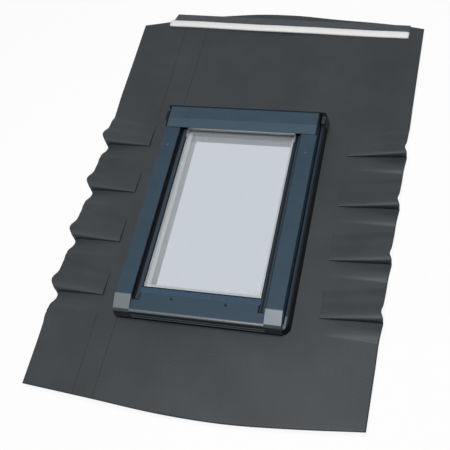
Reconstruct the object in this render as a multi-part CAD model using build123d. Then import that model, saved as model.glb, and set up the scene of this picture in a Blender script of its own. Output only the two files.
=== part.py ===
from build123d import *
import math
import os

# Roof access hatch, closed, lying in the plane of its roof. X runs across the roof, Y up the slope and
# Z out of the roof. The origin is the middle of the four bracket holes, on the battens that carry the
# brackets. All sizes are millimetres.

# Heights above the battens
COVER_TOP = 66.0
FRAME_DROP = 18.0
FRAME_SEAT = 16.0
RIM_TOP = 31.0
SEAL_HEIGHT = 2.0

# Sash, measured over its covers from the origin
SASH_WIDTH = 452.0
SASH_FRONT = 344.0
HOOD_REAR = 335.0

# Clearances and cuts
FIT = 0.3
NEST_GAP = 4.0
CUT = 5.0

# Glass unit and its beads
GLASS_DEPTH = 18.0
PANE_THICKNESS = 4.0
CAVITY = 14.0
SPACER_WIDTH = 9.0
GLASS_COVER = 12.0
REBATE_GAP = 2.0
SIGHT_SIDE = 66.0
SIGHT_FRONT = 80.0
SIGHT_REAR = 61.0
GASKET_THICKNESS = 1.0
GASKET_LIP = 3.0
BEAD_THICKNESS = 2.0
BEAD_SIDE = 15.0
BEAD_ROUND = 0.8
BEAD_END = 39.0
BEAD_GAP = 3.0
SEAT_DROP = 1.0

# Timber sash
REVEAL_SIDE = 76.0
REVEAL_FRONT = 97.0
REVEAL_REAR = 67.0
LIP_THICKNESS = 22.0
LIP_CLEAR = 2.0
FRONT_LIP_THICKNESS = 25.0
FRONT_LIP_LIFT = 26.0
SASH_TAIL = 22.0

# Sash covers
SHEET = 1.2
SIDE_COVER = 45.0
SKIRT = 30.0
EDGE_ROUND = 2.0
SIDE_COVER_TOP_END = 35.0
LINER_THICKNESS = 1.5
LINER_DROP = 3.0

# Bottom cover and corner caps
PLATE_DROP = 12.0
PLATE_DEPTH = 58.0
PLATE_SHEET = 1.5
NOSE_ROUND = 5.0
FASCIA = 36.0
RIB_COUNT = 3
RIB_HEIGHT = 3.0
RIB_GROOVE = 2.4
RIB_DEPTH = 0.7
CAP_DEPTH = 45.0
CAP_WALL = 2.0
CAP_FLAT = 4.0
CAP_BEND = 16.0
CAP_NOSE = 6.0
CAP_HEIGHT = 50.0
BOTTOM_BEAD_FALL = 2.2

# Hood over the hinges
HOOD_RISE = 6.0
HOOD_BEND = 46.0
HOOD_DEPTH = 76.0
HOOD_SHEET = 1.5
HOOD_EDGE = 1.8
HOOD_FLANGE = 9.0
HOOD_CAP = 4.0
HOOD_CAP_DROP = 26.0
HOOD_CAP_REACH = 33.0
HOOD_SEAL = 4.0

# Timber frame and its cladding
FRAME_EDGE = 8.0
FRAME_FRONT = 12.0
FRAME_REAR = 17.0
RIM = 6.0
CORNER_ROUND = 18.0
LIP_OVERHANG = 4.0
SKIRT_FLARE = 5.5
LIP_ROUND = 3.0
HEAD_COVER_HEIGHT = 62.0
HEAD_COVER_BACK = 3.0
HEAD_FLANGE = 6.0
CORNER_LENGTH = 36.0
CORNER_HEIGHT = 15.0
WING_LENGTH = 35.0
WING_START = 13.0
WING_LEAN = 6.0
WING_HEIGHT = 12.0
SEAL_WIDTH = 10.0
SEAL_INSET = 4.0

# Hinges at the head
HINGE_SPACING = 250.0
HINGE_WIDTH = 60.0
HINGE_INSET = 9.5
HINGE_DROP = 7.5
KNUCKLE = 4.5
PIN = 2.5
PIN_CLEARANCE = 0.05
LEAF = 2.5
LEAF_GAP = 2.0
LEAF_FOOT = 20.0
KNUCKLE_GAP = 0.5
PIN_HEAD = 3.6
PIN_HEAD_HEIGHT = 2.0

# Handle, on the underside of the front lip
HANDLE_FROM_SIDE = 40.0
HANDLE_INSET = 10.0
HANDLE_PLATE = 70.0
HANDLE_PLATE_WIDTH = 18.0
HANDLE_PLATE_THICKNESS = 4.5
SPINDLE = 5.0
CAM_REACH = 16.0
CAM_WIDTH = 10.0
CAM_THICKNESS = 3.0
LEVER_WIDTH = 15.0
LEVER_BOSS = 8.0
LEVER_NECK = 4.0
LEVER_THICKNESS = 7.0
LEVER_ROUND = 2.5
KEEPER_WIDTH = 24.0
KEEPER_REACH = 8.5
KEEPER_DROP = 16.0
KEEPER_SHEET = 1.5

# Stay arm, beside the handle
STAY_FROM_SIDE = 15.0
STAY_WIDTH = 14.0
STAY_THICKNESS = 4.0
STAY_PLATE = 40.0
STAY_PLATE_THICKNESS = 3.0
STAY_RIVET = 3.0
STAY_HOLE = 4.0
STAY_HOLES = 3
STAY_PITCH = 24.0
STAY_HEAD = 5.0
STAY_HEAD_HEIGHT = 2.0
PEG = 3.2
PEG_HEIGHT = 9.0
PEG_SHELF = 14.0
PEG_PLATE = 26.0
PEG_DROP = 32.0

# Roof brackets and screws
BRACKET_REACH = 22.0
BRACKET_SPACING_Y = 400.0
BRACKET_HOLE = 2.75
BRACKET_SHEET = 2.0
BRACKET_WIDTH = 40.0
BRACKET_TOE = 14.0
BRACKET_LEG = 14.0
BRACKET_SCREW_PITCH = 22.0
BRACKET_SCREW_DROP = 7.0
SCREW_HEAD = 3.6
SCREW_HEAD_HEIGHT = 1.8
SCREW_SHANK = 1.8
SCREW_LENGTH = 16.0
COVER_SCREW_X = 73.5
COVER_SCREW_BACK = 47.5
SIDE_SCREW_Y = 193.0
SCREW_HOLE_GAP = 0.1

# Membrane apron
APRON_THICKNESS = 2.0
APRON_LIFT = 4.0
APRON_LEFT = 196.0
APRON_RIGHT = 229.0
APRON_RIGHT_SPLAY = 19.0
APRON_HEAD = 436.0
APRON_SILL = 260.0
APRON_HEAD_FALL = 62.0
APRON_SILL_FALL = 32.0
UPSTAND = 12.0
PLEAT_COUNT = 4
PLEAT_LEFT_PITCH = 170.0
PLEAT_RIGHT_PITCH = 172.0
PLEAT_LAST_Y = -283.0
PLEAT_RUN = 100.0
PLEAT_HEIGHT = 27.0
PLEAT_LEFT_START = 50.0
PLEAT_RIGHT_START = 76.0
PLEAT_BULGE = 14.0

# Strips across the head of the apron
STRIP_LENGTH = 782.0
STRIP_X = 48.0
STRIP_FROM_HEAD = 68.0
STRIP_ANGLE = -2.2
FOAM_WIDTH = 25.0
FOAM_HEIGHT = 9.0
FOAM_ROUND = 4.0
BAR_WIDTH = 30.0
BAR_THICKNESS = 3.0
BAR_SLANT = 8.0

# Lengths of the lever and the stay in the width between the reveals, and the peg's place along the stay
LEVER_LENGTH_SHARE = 0.3167
STAY_LENGTH_SHARE = 0.3933
PEG_PLACE_SHARE = 0.805
# One pleat down the slope: place along the run at the left tip, the right tip and the root, and height.
# The sheet falls steeply at the pleat's nose, and below it rises once more in a low second crest
PLEAT_SHARES = [(1.12, 1.16, 0.84, 0.0), (0.88, 0.88, 0.62, 0.38), (0.60, 0.60, 0.44, 0.50)]
PLEAT_SHARES += [(0.34, 0.36, 0.24, 0.90), (0.17, 0.22, 0.11, 1.0), (0.06, 0.14, 0.06, 0.84)]
PLEAT_SHARES += [(-0.01, 0.10, 0.03, 0.50), (-0.06, 0.07, 0.0, 0.16), (-0.14, 0.02, -0.04, 0.0)]
PLEAT_SHARES += [(-0.34, -0.22, -0.26, 0.22), (-0.47, -0.40, -0.40, 0.14), (-0.56, -0.50, -0.48, 0.0)]
# How much of a pleat's height is there at its root
PLEAT_ROOT_SHARE = 0.12
# The side edges over one pleat: place along the run, and bulge
LEFT_EDGE_SHARES = [(0.85, -0.15), (0.5, 0.0), (0.18, 0.42), (0.0, -0.3), (-0.13, -1.0), (-0.29, -1.0)]
LEFT_EDGE_SHARES += [(-0.45, -0.2), (-0.57, 0.1)]
RIGHT_EDGE_SHARES = [(0.85, 0.0), (0.5, -0.1), (0.28, -0.25), (0.08, 0.25), (-0.1, 0.2), (-0.5, 0.0)]
# Waves of the apron's head and sill edges: place across the width, and fall from the furthest point
HEAD_EDGE_SHARES = [(0.0, 1.0), (0.14, 0.58), (0.30, 0.20), (0.42, 0.0), (0.55, 0.04), (0.70, 0.30)]
HEAD_EDGE_SHARES += [(0.86, 0.52), (0.95, 0.68), (1.0, 0.82)]
SILL_EDGE_SHARES = [(0.0, 1.0), (0.20, 0.55), (0.45, 0.06), (0.62, 0.02), (0.82, 0.42), (1.0, 0.94)]

# Places worked out from the sizes above
half_width = SASH_WIDTH / 2
front = -SASH_FRONT
rear = HOOD_REAR
cover_in = half_width - SIDE_COVER
sight_x = half_width - SIGHT_SIDE
sight_front = front + SIGHT_FRONT
sight_rear = rear - SIGHT_REAR
glass_x = sight_x + GLASS_COVER
glass_front = sight_front - GLASS_COVER
glass_rear = sight_rear + GLASS_COVER
glass_top = COVER_TOP - GLASS_DEPTH
ledge = glass_top - 2 * PANE_THICKNESS - CAVITY
bead_base = glass_top + GASKET_THICKNESS
bead_top = bead_base + BEAD_THICKNESS
bead_in = sight_x + GASKET_LIP
bead_out = bead_in + BEAD_SIDE
reveal_x = half_width - REVEAL_SIDE
reveal_front = front + REVEAL_FRONT
reveal_rear = rear - REVEAL_REAR
lip_x = reveal_x + LIP_THICKNESS
lip_front = reveal_front - FRONT_LIP_THICKNESS
lip_rear = reveal_rear + LIP_THICKNESS
lip_bottom = LIP_CLEAR - FRAME_DROP
front_lip_bottom = FRONT_LIP_LIFT - FRAME_DROP
sash_seat = FRAME_SEAT + SEAL_HEIGHT
hinge_y = rear - HINGE_INSET
sash_side = half_width - SHEET - FIT
sash_tail = front + SASH_TAIL
sash_back = hinge_y - KNUCKLE - LEAF_GAP / 2
frame_x = half_width + FRAME_EDGE
frame_front = front + FRAME_FRONT
frame_rear = rear + FRAME_REAR
frame_in_x = lip_x + NEST_GAP
frame_in_front = lip_front - NEST_GAP
frame_in_rear = lip_rear + NEST_GAP
plate_top = COVER_TOP - PLATE_DROP
plate_rear = front + PLATE_DEPTH
cap_rear = front + CAP_DEPTH
bead_end = front + BEAD_END
fascia_bottom = plate_top - FASCIA
hood_top = COVER_TOP + HOOD_RISE
hood_under = hood_top - HOOD_SHEET
hinge_z = hood_top - HINGE_DROP
hood_front = rear - HOOD_DEPTH
hood_bend = rear - HOOD_BEND
apron_under = APRON_LIFT
apron_top = APRON_LIFT + APRON_THICKNESS
apron_left = -frame_x - APRON_LEFT
apron_right = frame_x + APRON_RIGHT
apron_head = frame_rear + APRON_HEAD
apron_sill = frame_front - APRON_SILL
handle_x = HANDLE_FROM_SIDE - reveal_x
handle_y = reveal_front - HANDLE_INSET
lever_length = 2 * reveal_x * LEVER_LENGTH_SHARE
stay_x = reveal_x - STAY_FROM_SIDE
stay_length = 2 * reveal_x * STAY_LENGTH_SHARE
peg_x = stay_x - stay_length * PEG_PLACE_SHARE
cam_top = front_lip_bottom - HANDLE_PLATE_THICKNESS - FIT
stay_top = front_lip_bottom - STAY_PLATE_THICKNESS - FIT


def block(x0, x1, y0, y1, z0, z1):
    """A straight block between two corners."""
    return Pos((x0 + x1) / 2, (y0 + y1) / 2, (z0 + z1) / 2) * Box(x1 - x0, y1 - y0, z1 - z0)


def outline(points, rounds):
    """A closed face through points, with the corners named in rounds given their radius."""
    face = make_face(Polyline(*points, close=True))
    for index, radius in rounds.items():
        corner = face.vertices().sort_by_distance(Vector(*points[index], 0))[0]
        face = fillet(corner, radius)
    return face


def along_x(face, x0, x1):
    """A face drawn in Y and Z, drawn out along X."""
    return extrude(Plane.YZ.offset(x0) * face, amount=x1 - x0)


def along_y(face, y0, y1):
    """A face drawn in X and Z, drawn out along Y."""
    return extrude(Plane.XZ.offset(-y1) * face, amount=y1 - y0)


def along_z(face, z0, z1):
    """A face drawn in X and Y, drawn out along Z."""
    return extrude(Plane.XY.offset(z0) * face, amount=z1 - z0)


def rod(x, y, z0, z1, radius):
    """An upright round bar between two heights."""
    return Pos(x, y, (z0 + z1) / 2) * Cylinder(radius, z1 - z0)


def rod_x(x0, x1, y, z, radius):
    """A round bar along X."""
    return Pos((x0 + x1) / 2, y, z) * Rot(0, 90, 0) * Cylinder(radius, x1 - x0)


def flipped(shape):
    """The same piece for the other side of the hatch."""
    return mirror(shape, about=Plane.YZ)


def frame_blank():
    """The frame timbers as one ring: a seat for the sash with a rim round it."""
    middle = (frame_front + frame_rear) / 2
    length = frame_rear - frame_front
    plan = Pos(0, middle) * Rectangle(2 * frame_x, length)
    low = plan.vertices().group_by(Axis.Y)[0]
    plan = fillet(low, CORNER_ROUND - LIP_OVERHANG)
    inside = Pos(0, middle) * Rectangle(2 * (frame_x - RIM), length - 2 * RIM)
    hole_middle = (frame_in_front + frame_in_rear) / 2
    hole = Pos(0, hole_middle) * Rectangle(2 * frame_in_x, frame_in_rear - frame_in_front)
    return along_z(plan - hole, -FRAME_DROP, FRAME_SEAT) + along_z(plan - inside, FRAME_SEAT, RIM_TOP)


def frame_timbers():
    """Two stiles with the head and the sill between them, drilled for the bracket screws."""
    ring = frame_blank()
    for solid in screw_bodies(bracket_screw_places(), SCREW_HOLE_GAP):
        ring -= solid
    stile = ring & block(frame_in_x, frame_x, frame_front, frame_rear, -FRAME_DROP, RIM_TOP)
    left_stile = ring & block(-frame_x, -frame_in_x, frame_front, frame_rear, -FRAME_DROP, RIM_TOP)
    head = ring & block(-frame_in_x, frame_in_x, 0, frame_rear, -FRAME_DROP, RIM_TOP)
    sill = ring & block(-frame_in_x, frame_in_x, frame_front, 0, -FRAME_DROP, RIM_TOP)
    return {
        "frame_stile_left": left_stile,
        "frame_stile_right": stile,
        "frame_head_rail": head,
        "frame_sill_rail": sill,
    }


def sash_blank():
    """The sash timbers as one ring: an upper part on the frame's seat, and a lip inside the frame."""
    top = hood_under - FIT
    ring = block(-sash_side, sash_side, sash_tail, sash_back, sash_seat, top)
    ring += block(-lip_x, lip_x, lip_front, lip_rear, lip_bottom, sash_seat)
    ring -= block(-reveal_x, reveal_x, reveal_front, reveal_rear, lip_bottom - CUT, top + CUT)
    pocket = glass_x + REBATE_GAP
    ring -= block(-pocket, pocket, glass_front - REBATE_GAP, glass_rear + REBATE_GAP, ledge, top + CUT)
    ring -= block(-reveal_x, reveal_x, reveal_front - LIP_THICKNESS * 2, reveal_front,
                  lip_bottom - CUT, front_lip_bottom)
    return ring


def stile_cuts():
    """What is taken off the right sash stile for its cover, its corner cap and the hood's cheek."""
    top = hood_under + CUT
    outer = sash_side + CUT
    cover_end = rear - SIDE_COVER_TOP_END + FIT
    cheek = rear - HOOD_CAP_REACH - FIT
    cheek_low = hood_top - HOOD_CAP_DROP - FIT
    return [
        block(reveal_x, outer, sash_tail - CUT, sash_back + CUT, COVER_TOP - SHEET - FIT, top),
        block(reveal_x, outer, sash_tail - CUT, cap_rear + FIT, RIM_TOP + CAP_WALL, top),
        block(reveal_x, cover_in + SHEET + FIT, glass_rear, cover_end, bead_base, top),
        block(half_width - HOOD_CAP - FIT, outer, cheek, sash_back + CUT, cheek_low, top),
    ]


def sash_timbers():
    """Two stiles with a rail at each end, cut down where the covers, the beads and the glass sit."""
    top = hood_under - FIT
    ring = sash_blank()
    shelf = cover_in + SHEET + FIT
    bead_end = glass_rear + REBATE_GAP + FIT
    ring -= block(-shelf, shelf, cap_rear, bead_end, bead_base, top + CUT)
    ring -= block(-shelf, shelf, sash_tail - CUT, plate_rear, plate_top - PLATE_SHEET - FIT, top + CUT)
    for side in (-1, 1):
        for cut in stile_cuts():
            ring -= cut if side > 0 else flipped(cut)
    for solid in screw_bodies(cover_screw_places(), SCREW_HOLE_GAP):
        ring -= solid
    stile = ring & block(reveal_x, sash_side, sash_tail, sash_back, lip_bottom, top)
    left_stile = ring & block(-sash_side, -reveal_x, sash_tail, sash_back, lip_bottom, top)
    top_rail = ring & block(-reveal_x, reveal_x, 0, sash_back, lip_bottom, top)
    bottom_rail = ring & block(-reveal_x, reveal_x, sash_tail, 0, lip_bottom, top)
    return {
        "sash_stile_left": left_stile,
        "sash_stile_right": stile,
        "sash_top_rail": top_rail,
        "sash_bottom_rail": bottom_rail,
    }


def flat_ring(x_out, y0_out, y1_out, x_in, y0_in, y1_in, z0, z1):
    """A flat rectangular frame."""
    return block(-x_out, x_out, y0_out, y1_out, z0, z1) - block(-x_in, x_in, y0_in, y1_in, z0 - CUT, z1 + CUT)


def glass_unit():
    """Two panes held apart by a spacer frame, with a gasket lip on the upper pane."""
    lower = ledge + PANE_THICKNESS
    upper = lower + CAVITY
    spacer_out = glass_x - FIT
    spacer_in = spacer_out - SPACER_WIDTH
    return {
        "glass_inner_pane": block(-glass_x, glass_x, glass_front, glass_rear, ledge, lower),
        "glass_outer_pane": block(-glass_x, glass_x, glass_front, glass_rear, upper, glass_top),
        "glass_spacer": flat_ring(
            spacer_out, glass_front + FIT, glass_rear - FIT,
            spacer_in, glass_front + FIT + SPACER_WIDTH, glass_rear - FIT - SPACER_WIDTH, lower, upper),
        "glazing_gasket": flat_ring(
            glass_x, glass_front, glass_rear, sight_x, sight_front, sight_rear, glass_top, bead_base),
    }


def glazing_beads():
    """Side beads down to the corner caps, a bottom bead that falls to the glass, and one under the hood."""
    end = glass_rear + REBATE_GAP
    side = outline(
        [(bead_in, bead_base), (bead_in, bead_top), (bead_out, bead_top), (bead_out, bead_base)],
        {1: BEAD_ROUND, 2: BEAD_ROUND})
    side_bead = along_y(side, bead_end, end)
    low = bead_base + BEAD_THICKNESS
    high = low + BOTTOM_BEAD_FALL
    edge = sight_front - GASKET_LIP
    back = plate_rear + FIT
    bottom = outline(
        [(back, bead_base), (back, high), (back + BEAD_THICKNESS, high), (edge, low), (edge, bead_base)],
        {3: BEAD_ROUND})
    top = outline(
        [(sight_rear + GASKET_LIP, bead_base), (sight_rear + GASKET_LIP, bead_top),
         (end, bead_top), (end, bead_base)],
        {1: BEAD_ROUND})
    return {
        "glazing_bead_right": side_bead,
        "glazing_bead_left": flipped(side_bead),
        "glazing_bead_bottom": along_x(bottom, -bead_in + FIT, bead_in - FIT),
        "glazing_bead_top": along_x(top, -bead_in + FIT, bead_in - FIT),
    }


def side_cover():
    """The right side cover: a folded channel over the sash stile."""
    end = rear - SIDE_COVER_TOP_END
    bottom = COVER_TOP - SKIRT
    face = outline(
        [(cover_in, bead_top), (cover_in, COVER_TOP), (half_width, COVER_TOP), (half_width, bottom),
         (half_width - SHEET, bottom), (half_width - SHEET, COVER_TOP - SHEET),
         (cover_in + SHEET, COVER_TOP - SHEET), (cover_in + SHEET, bead_top)],
        {1: EDGE_ROUND, 2: EDGE_ROUND})
    cover = along_y(face, cap_rear, end)
    for x, y, z in cover_screw_places():
        cover -= rod(x, y, z - CUT, z + CUT, SCREW_SHANK + SCREW_HOLE_GAP)
    return cover


def cover_liner():
    """The black strip along the right cover's inner wall, with a hook round the lower end of the bead."""
    end = glass_rear + REBATE_GAP
    seat = bead_end - BEAD_GAP
    seat_top = plate_top - SEAT_DROP
    hook_in = bead_in - BEAD_GAP
    liner = block(cover_in - LINER_THICKNESS, cover_in, cap_rear, end, bead_base, COVER_TOP - LINER_DROP)
    liner += block(cover_in - LINER_THICKNESS, cover_in, seat, cap_rear, bead_base, seat_top)
    liner += block(hook_in, cover_in, seat, bead_end - FIT, bead_base, seat_top)
    return liner + block(hook_in, bead_in - FIT, seat, plate_rear, bead_base, seat_top)


def bottom_cover():
    """The bottom cover: a plate, a rounded nose and a grooved front that hangs over the frame."""
    back = front + PLATE_SHEET
    under = plate_top - PLATE_SHEET
    face = outline(
        [(plate_rear, under), (plate_rear, plate_top), (front, plate_top), (front, fascia_bottom),
         (back, fascia_bottom), (back, under)],
        {2: NOSE_ROUND, 5: NOSE_ROUND - PLATE_SHEET})
    cover = along_x(face, -cover_in, cover_in)
    groove_pitch = RIB_HEIGHT + RIB_GROOVE
    for i in range(RIB_COUNT):
        z = fascia_bottom + RIB_HEIGHT + i * groove_pitch
        cover -= block(-cover_in - CUT, cover_in + CUT, front - CUT, front + RIB_DEPTH, z, z + RIB_GROOVE)
    for side in (-1, 1):
        hook = side * (bead_in - BEAD_GAP - FIT)
        past = side * (cover_in + CUT)
        notch_end = bead_end - BEAD_GAP - FIT
        x0 = min(hook, past)
        x1 = max(hook, past)
        cover -= block(x0, x1, notch_end, plate_rear + CUT, under - CUT, plate_top + CUT)
    for x, y, z in cover_screw_places():
        cover -= rod(x, y, z - CUT, z + CUT, SCREW_SHANK + SCREW_HOLE_GAP)
    return cover


def corner_cap():
    """The right corner cap: a hollow moulding that slopes down to a blunt nose."""
    low = COVER_TOP - CAP_HEIGHT
    face = outline(
        [(cap_rear, low), (cap_rear, COVER_TOP), (cap_rear - CAP_FLAT, COVER_TOP),
         (front + CAP_NOSE, plate_top), (front, plate_top - CAP_NOSE), (front, low)],
        {4: CAP_NOSE / 2, 3: CAP_NOSE, 2: CAP_BEND})
    cap = along_x(face, cover_in, half_width)
    inside = offset(face, -CAP_WALL, kind=Kind.INTERSECTION)
    hollow = along_x(inside, cover_in + CAP_WALL, half_width - CAP_WALL)
    hollow += Pos(0, CAP_WALL, 0) * hollow
    hollow += Pos(0, 0, -CAP_WALL - CUT) * hollow
    cap -= hollow
    skirt = COVER_TOP - SKIRT
    cap -= block(cover_in - CUT, half_width + CUT, front + CAP_WALL, cap_rear + CUT, low - CUT, skirt)
    return cap


def hood_section():
    """The hood's outer line from its front edge over the bend to the rear."""
    return [(rear, hood_top), (hood_bend, hood_top), (hood_front, COVER_TOP + FIT + HOOD_EDGE)]


def hood():
    """The folded sheet over the hinges: a flat, a fall to its front edge and a turned-down rear flange."""
    flange = hood_top - HOOD_FLANGE
    inner = rear - HOOD_SHEET
    points = hood_section() + [
        (hood_front, COVER_TOP + FIT), (hood_front + HOOD_EDGE, COVER_TOP + FIT), (hood_bend, hood_under),
        (inner, hood_under), (inner, flange), (rear, flange)]
    face = outline(points, {0: EDGE_ROUND, 2: HOOD_EDGE / 2})
    return along_x(face, -half_width + HOOD_CAP, half_width - HOOD_CAP)


def hood_end_cap():
    """The black cheek that closes the hood's right end and reaches down past the side cover's end."""
    flange = hood_top - HOOD_FLANGE
    cheek = rear - HOOD_CAP_REACH
    low = hood_top - HOOD_CAP_DROP
    points = hood_section() + [
        (hood_front, COVER_TOP + FIT), (cheek, COVER_TOP + FIT), (cheek, low), (rear - HOOD_CAP, low),
        (rear, flange)]
    return along_x(outline(points, {0: EDGE_ROUND}), half_width - HOOD_CAP, half_width)


def hood_rear_seal():
    """The rubber lip along the hood's rear flange."""
    low = hood_top - HOOD_FLANGE
    face = outline(
        [(rear, low), (rear + HOOD_SEAL, low),
         (rear + HOOD_SEAL, hood_top - HOOD_SHEET), (rear, hood_top - HOOD_SHEET)],
        {2: HOOD_SEAL / 2})
    return along_x(face, -half_width, half_width)


def cladding_section():
    """The frame cladding, drawn outward from the timber's outer face: a lip on the rim and a flared skirt."""
    under = RIM_TOP + FIT
    top = under + SHEET
    low = apron_top + FIT
    out = LIP_OVERHANG + SKIRT_FLARE
    return outline(
        [(-RIM, under), (-RIM, top), (LIP_OVERHANG, top), (out, low), (out - SHEET, low),
         (LIP_OVERHANG - SHEET, under)],
        {2: LIP_ROUND})


def frame_cladding_side():
    """The right frame cladding, with a quarter round at its lower corner."""
    centre_x = frame_x + LIP_OVERHANG - CORNER_ROUND
    centre_y = frame_front - LIP_OVERHANG + CORNER_ROUND
    face = Pos(frame_x, 0) * cladding_section()
    side = along_y(face, centre_y, frame_rear - CORNER_LENGTH)
    start = Plane.XZ.offset(-centre_y) * face
    turn = revolve(start, Axis((centre_x, centre_y, 0), (0, 0, 1)), revolution_arc=-90)
    return side + turn


def frame_cladding_sill():
    """The cladding along the sill, between the two rounded corners."""
    end = frame_x + LIP_OVERHANG - CORNER_ROUND
    face = Pos(-frame_front, 0) * cladding_section()
    return mirror(along_x(face, -end, end), about=Plane.XZ)


def head_cover():
    """The folded sheet behind the hood: an upstand with a short top flange, and a skirt onto the apron."""
    under = RIM_TOP + FIT
    top = under + SHEET
    low = apron_top + FIT
    wall = frame_rear - HEAD_COVER_BACK
    out = frame_rear + LIP_OVERHANG / 2
    foot = out + SKIRT_FLARE
    points = [
        (wall - HEAD_FLANGE, HEAD_COVER_HEIGHT - SHEET), (wall - HEAD_FLANGE, HEAD_COVER_HEIGHT),
        (wall, HEAD_COVER_HEIGHT), (wall, top), (out, top), (foot, low), (foot - SHEET, low),
        (out - SHEET, under), (wall - SHEET, under), (wall - SHEET, HEAD_COVER_HEIGHT - SHEET)]
    end = frame_x - RIM - FIT
    return along_x(outline(points, {2: EDGE_ROUND / 2, 4: LIP_ROUND}), -end, end)


def head_corner():
    """The right upper corner piece: a block on the rim, skirts on two sides and a flared wing."""
    under = RIM_TOP + FIT
    top = under + CORNER_HEIGHT
    low = apron_top + FIT
    inner = frame_x - RIM
    lip = frame_x + LIP_OVERHANG
    foot = lip + SKIRT_FLARE
    side = outline(
        [(inner, under), (inner, top), (lip, top), (foot, low), (foot - SHEET, low), (lip - SHEET, under)],
        {2: LIP_ROUND})
    back = frame_rear + LIP_OVERHANG / 2
    heel = back + SKIRT_FLARE
    piece = along_y(side, frame_rear - CORNER_LENGTH, back)
    tail = outline(
        [(back - SHEET, under), (back - SHEET, top), (back, top), (heel, low), (heel - SHEET, low)], {})
    piece += along_x(tail, inner, lip)
    wall = frame_rear - HEAD_COVER_BACK
    piece += block(inner, lip, wall - HEAD_FLANGE, wall, under, HEAD_COVER_HEIGHT)
    tip = lip + WING_LEAN
    wing_base = under + SHEET + FIT
    wing = outline(
        [(lip - SHEET, wing_base), (tip, wing_base + WING_HEIGHT), (tip + SHEET, wing_base + WING_HEIGHT),
         (lip + SHEET, wing_base)], {})
    start = frame_rear - CORNER_LENGTH - WING_START
    return piece + along_y(wing, start, start + WING_LENGTH)


def frame_seal():
    """The rubber strip round the frame's seat that the closed sash rests on."""
    x_in = frame_in_x + SEAL_INSET
    y0_in = frame_in_front - SEAL_INSET
    y1_in = frame_in_rear + SEAL_INSET
    return flat_ring(
        x_in + SEAL_WIDTH, y0_in - SEAL_WIDTH, y1_in + SEAL_WIDTH, x_in, y0_in, y1_in, FRAME_SEAT, sash_seat)


def hinge(x):
    """One hinge at the head: a leaf on the frame, a leaf on the sash and the pin that joins them."""
    part_width = (HINGE_WIDTH - 2 * KNUCKLE_GAP) / 3
    x0 = x - HINGE_WIDTH / 2
    x1 = x + HINGE_WIDTH / 2
    inner0 = x0 + part_width + KNUCKLE_GAP
    inner1 = x1 - part_width - KNUCKLE_GAP
    leaf_y = hinge_y - LEAF / 2
    frame_leaf = block(x0, x1, leaf_y, leaf_y + LEAF, FRAME_SEAT, hinge_z)
    frame_leaf += block(x0, x1, leaf_y, leaf_y + LEAF_FOOT, FRAME_SEAT, FRAME_SEAT + LEAF)
    frame_leaf -= block(inner0 - KNUCKLE_GAP, inner1 + KNUCKLE_GAP, leaf_y - CUT, leaf_y + LEAF + CUT,
                        hinge_z - KNUCKLE - KNUCKLE_GAP, hinge_z + CUT)
    frame_leaf += rod_x(x0, inner0 - KNUCKLE_GAP, hinge_y, hinge_z, KNUCKLE)
    frame_leaf += rod_x(inner1 + KNUCKLE_GAP, x1, hinge_y, hinge_z, KNUCKLE)
    frame_leaf -= rod_x(x0 - CUT, x1 + CUT, hinge_y, hinge_z, PIN)
    sash_leaf = block(inner0, inner1, sash_back, sash_back + LEAF, sash_seat + NEST_GAP, hinge_z)
    sash_leaf += rod_x(inner0, inner1, hinge_y, hinge_z, KNUCKLE)
    sash_leaf -= rod_x(x0 - CUT, x1 + CUT, hinge_y, hinge_z, PIN + PIN_CLEARANCE)
    pin = rod_x(x0, x1, hinge_y, hinge_z, PIN)
    pin += rod_x(x1, x1 + PIN_HEAD_HEIGHT, hinge_y, hinge_z, PIN_HEAD)
    return frame_leaf, sash_leaf, pin


def handle_base():
    """The handle's plate under the front lip, with rounded ends."""
    low = front_lip_bottom - HANDLE_PLATE_THICKNESS
    plate = Pos(handle_x, handle_y) * SlotOverall(HANDLE_PLATE, HANDLE_PLATE_WIDTH)
    base = along_z(plate, low, front_lip_bottom)
    return base - rod(handle_x, handle_y, low - CUT, front_lip_bottom, SPINDLE + PIN_CLEARANCE)


def handle_cam():
    """The spindle in the plate and the tongue that turns under the keeper."""
    tongue = SlotCenterToCenter(CAM_REACH - CAM_WIDTH / 2, CAM_WIDTH)
    tongue = Pos(handle_x - CAM_REACH / 2 + CAM_WIDTH / 4, handle_y) * tongue
    spindle = rod(handle_x, handle_y, cam_top, front_lip_bottom - FIT, SPINDLE)
    return along_z(tongue, cam_top - CAM_THICKNESS, cam_top) + spindle


def handle_lever():
    """The lever: a round boss under the cam and a flat grip that tapers to its tip."""
    top = cam_top - CAM_THICKNESS
    grip_top = top - LEVER_NECK
    tip = LEVER_WIDTH / 2 - LEVER_ROUND
    grip = make_face(Polyline(
        (handle_x, handle_y - LEVER_WIDTH / 2), (handle_x + lever_length, handle_y - tip),
        (handle_x + lever_length, handle_y + tip), (handle_x, handle_y + LEVER_WIDTH / 2), close=True))
    grip += Pos(handle_x, handle_y) * Circle(LEVER_WIDTH / 2)
    lever = along_z(grip, grip_top - LEVER_THICKNESS, grip_top)
    lever = fillet(lever.faces().sort_by(Axis.Z)[0].edges(), LEVER_ROUND)
    return lever + rod(handle_x, handle_y, grip_top, top, LEVER_BOSS - LEVER_ROUND)


def keeper():
    """The angle on the frame sill that the handle's tongue turns under."""
    x0 = handle_x - KEEPER_WIDTH / 2
    x1 = handle_x + KEEPER_WIDTH / 2
    top = cam_top + FIT + KEEPER_SHEET
    angle = block(x0, x1, frame_in_front, frame_in_front + KEEPER_REACH, top - KEEPER_SHEET, top)
    return angle + block(x0, x1, frame_in_front, frame_in_front + KEEPER_SHEET, top - KEEPER_DROP, top)


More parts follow.
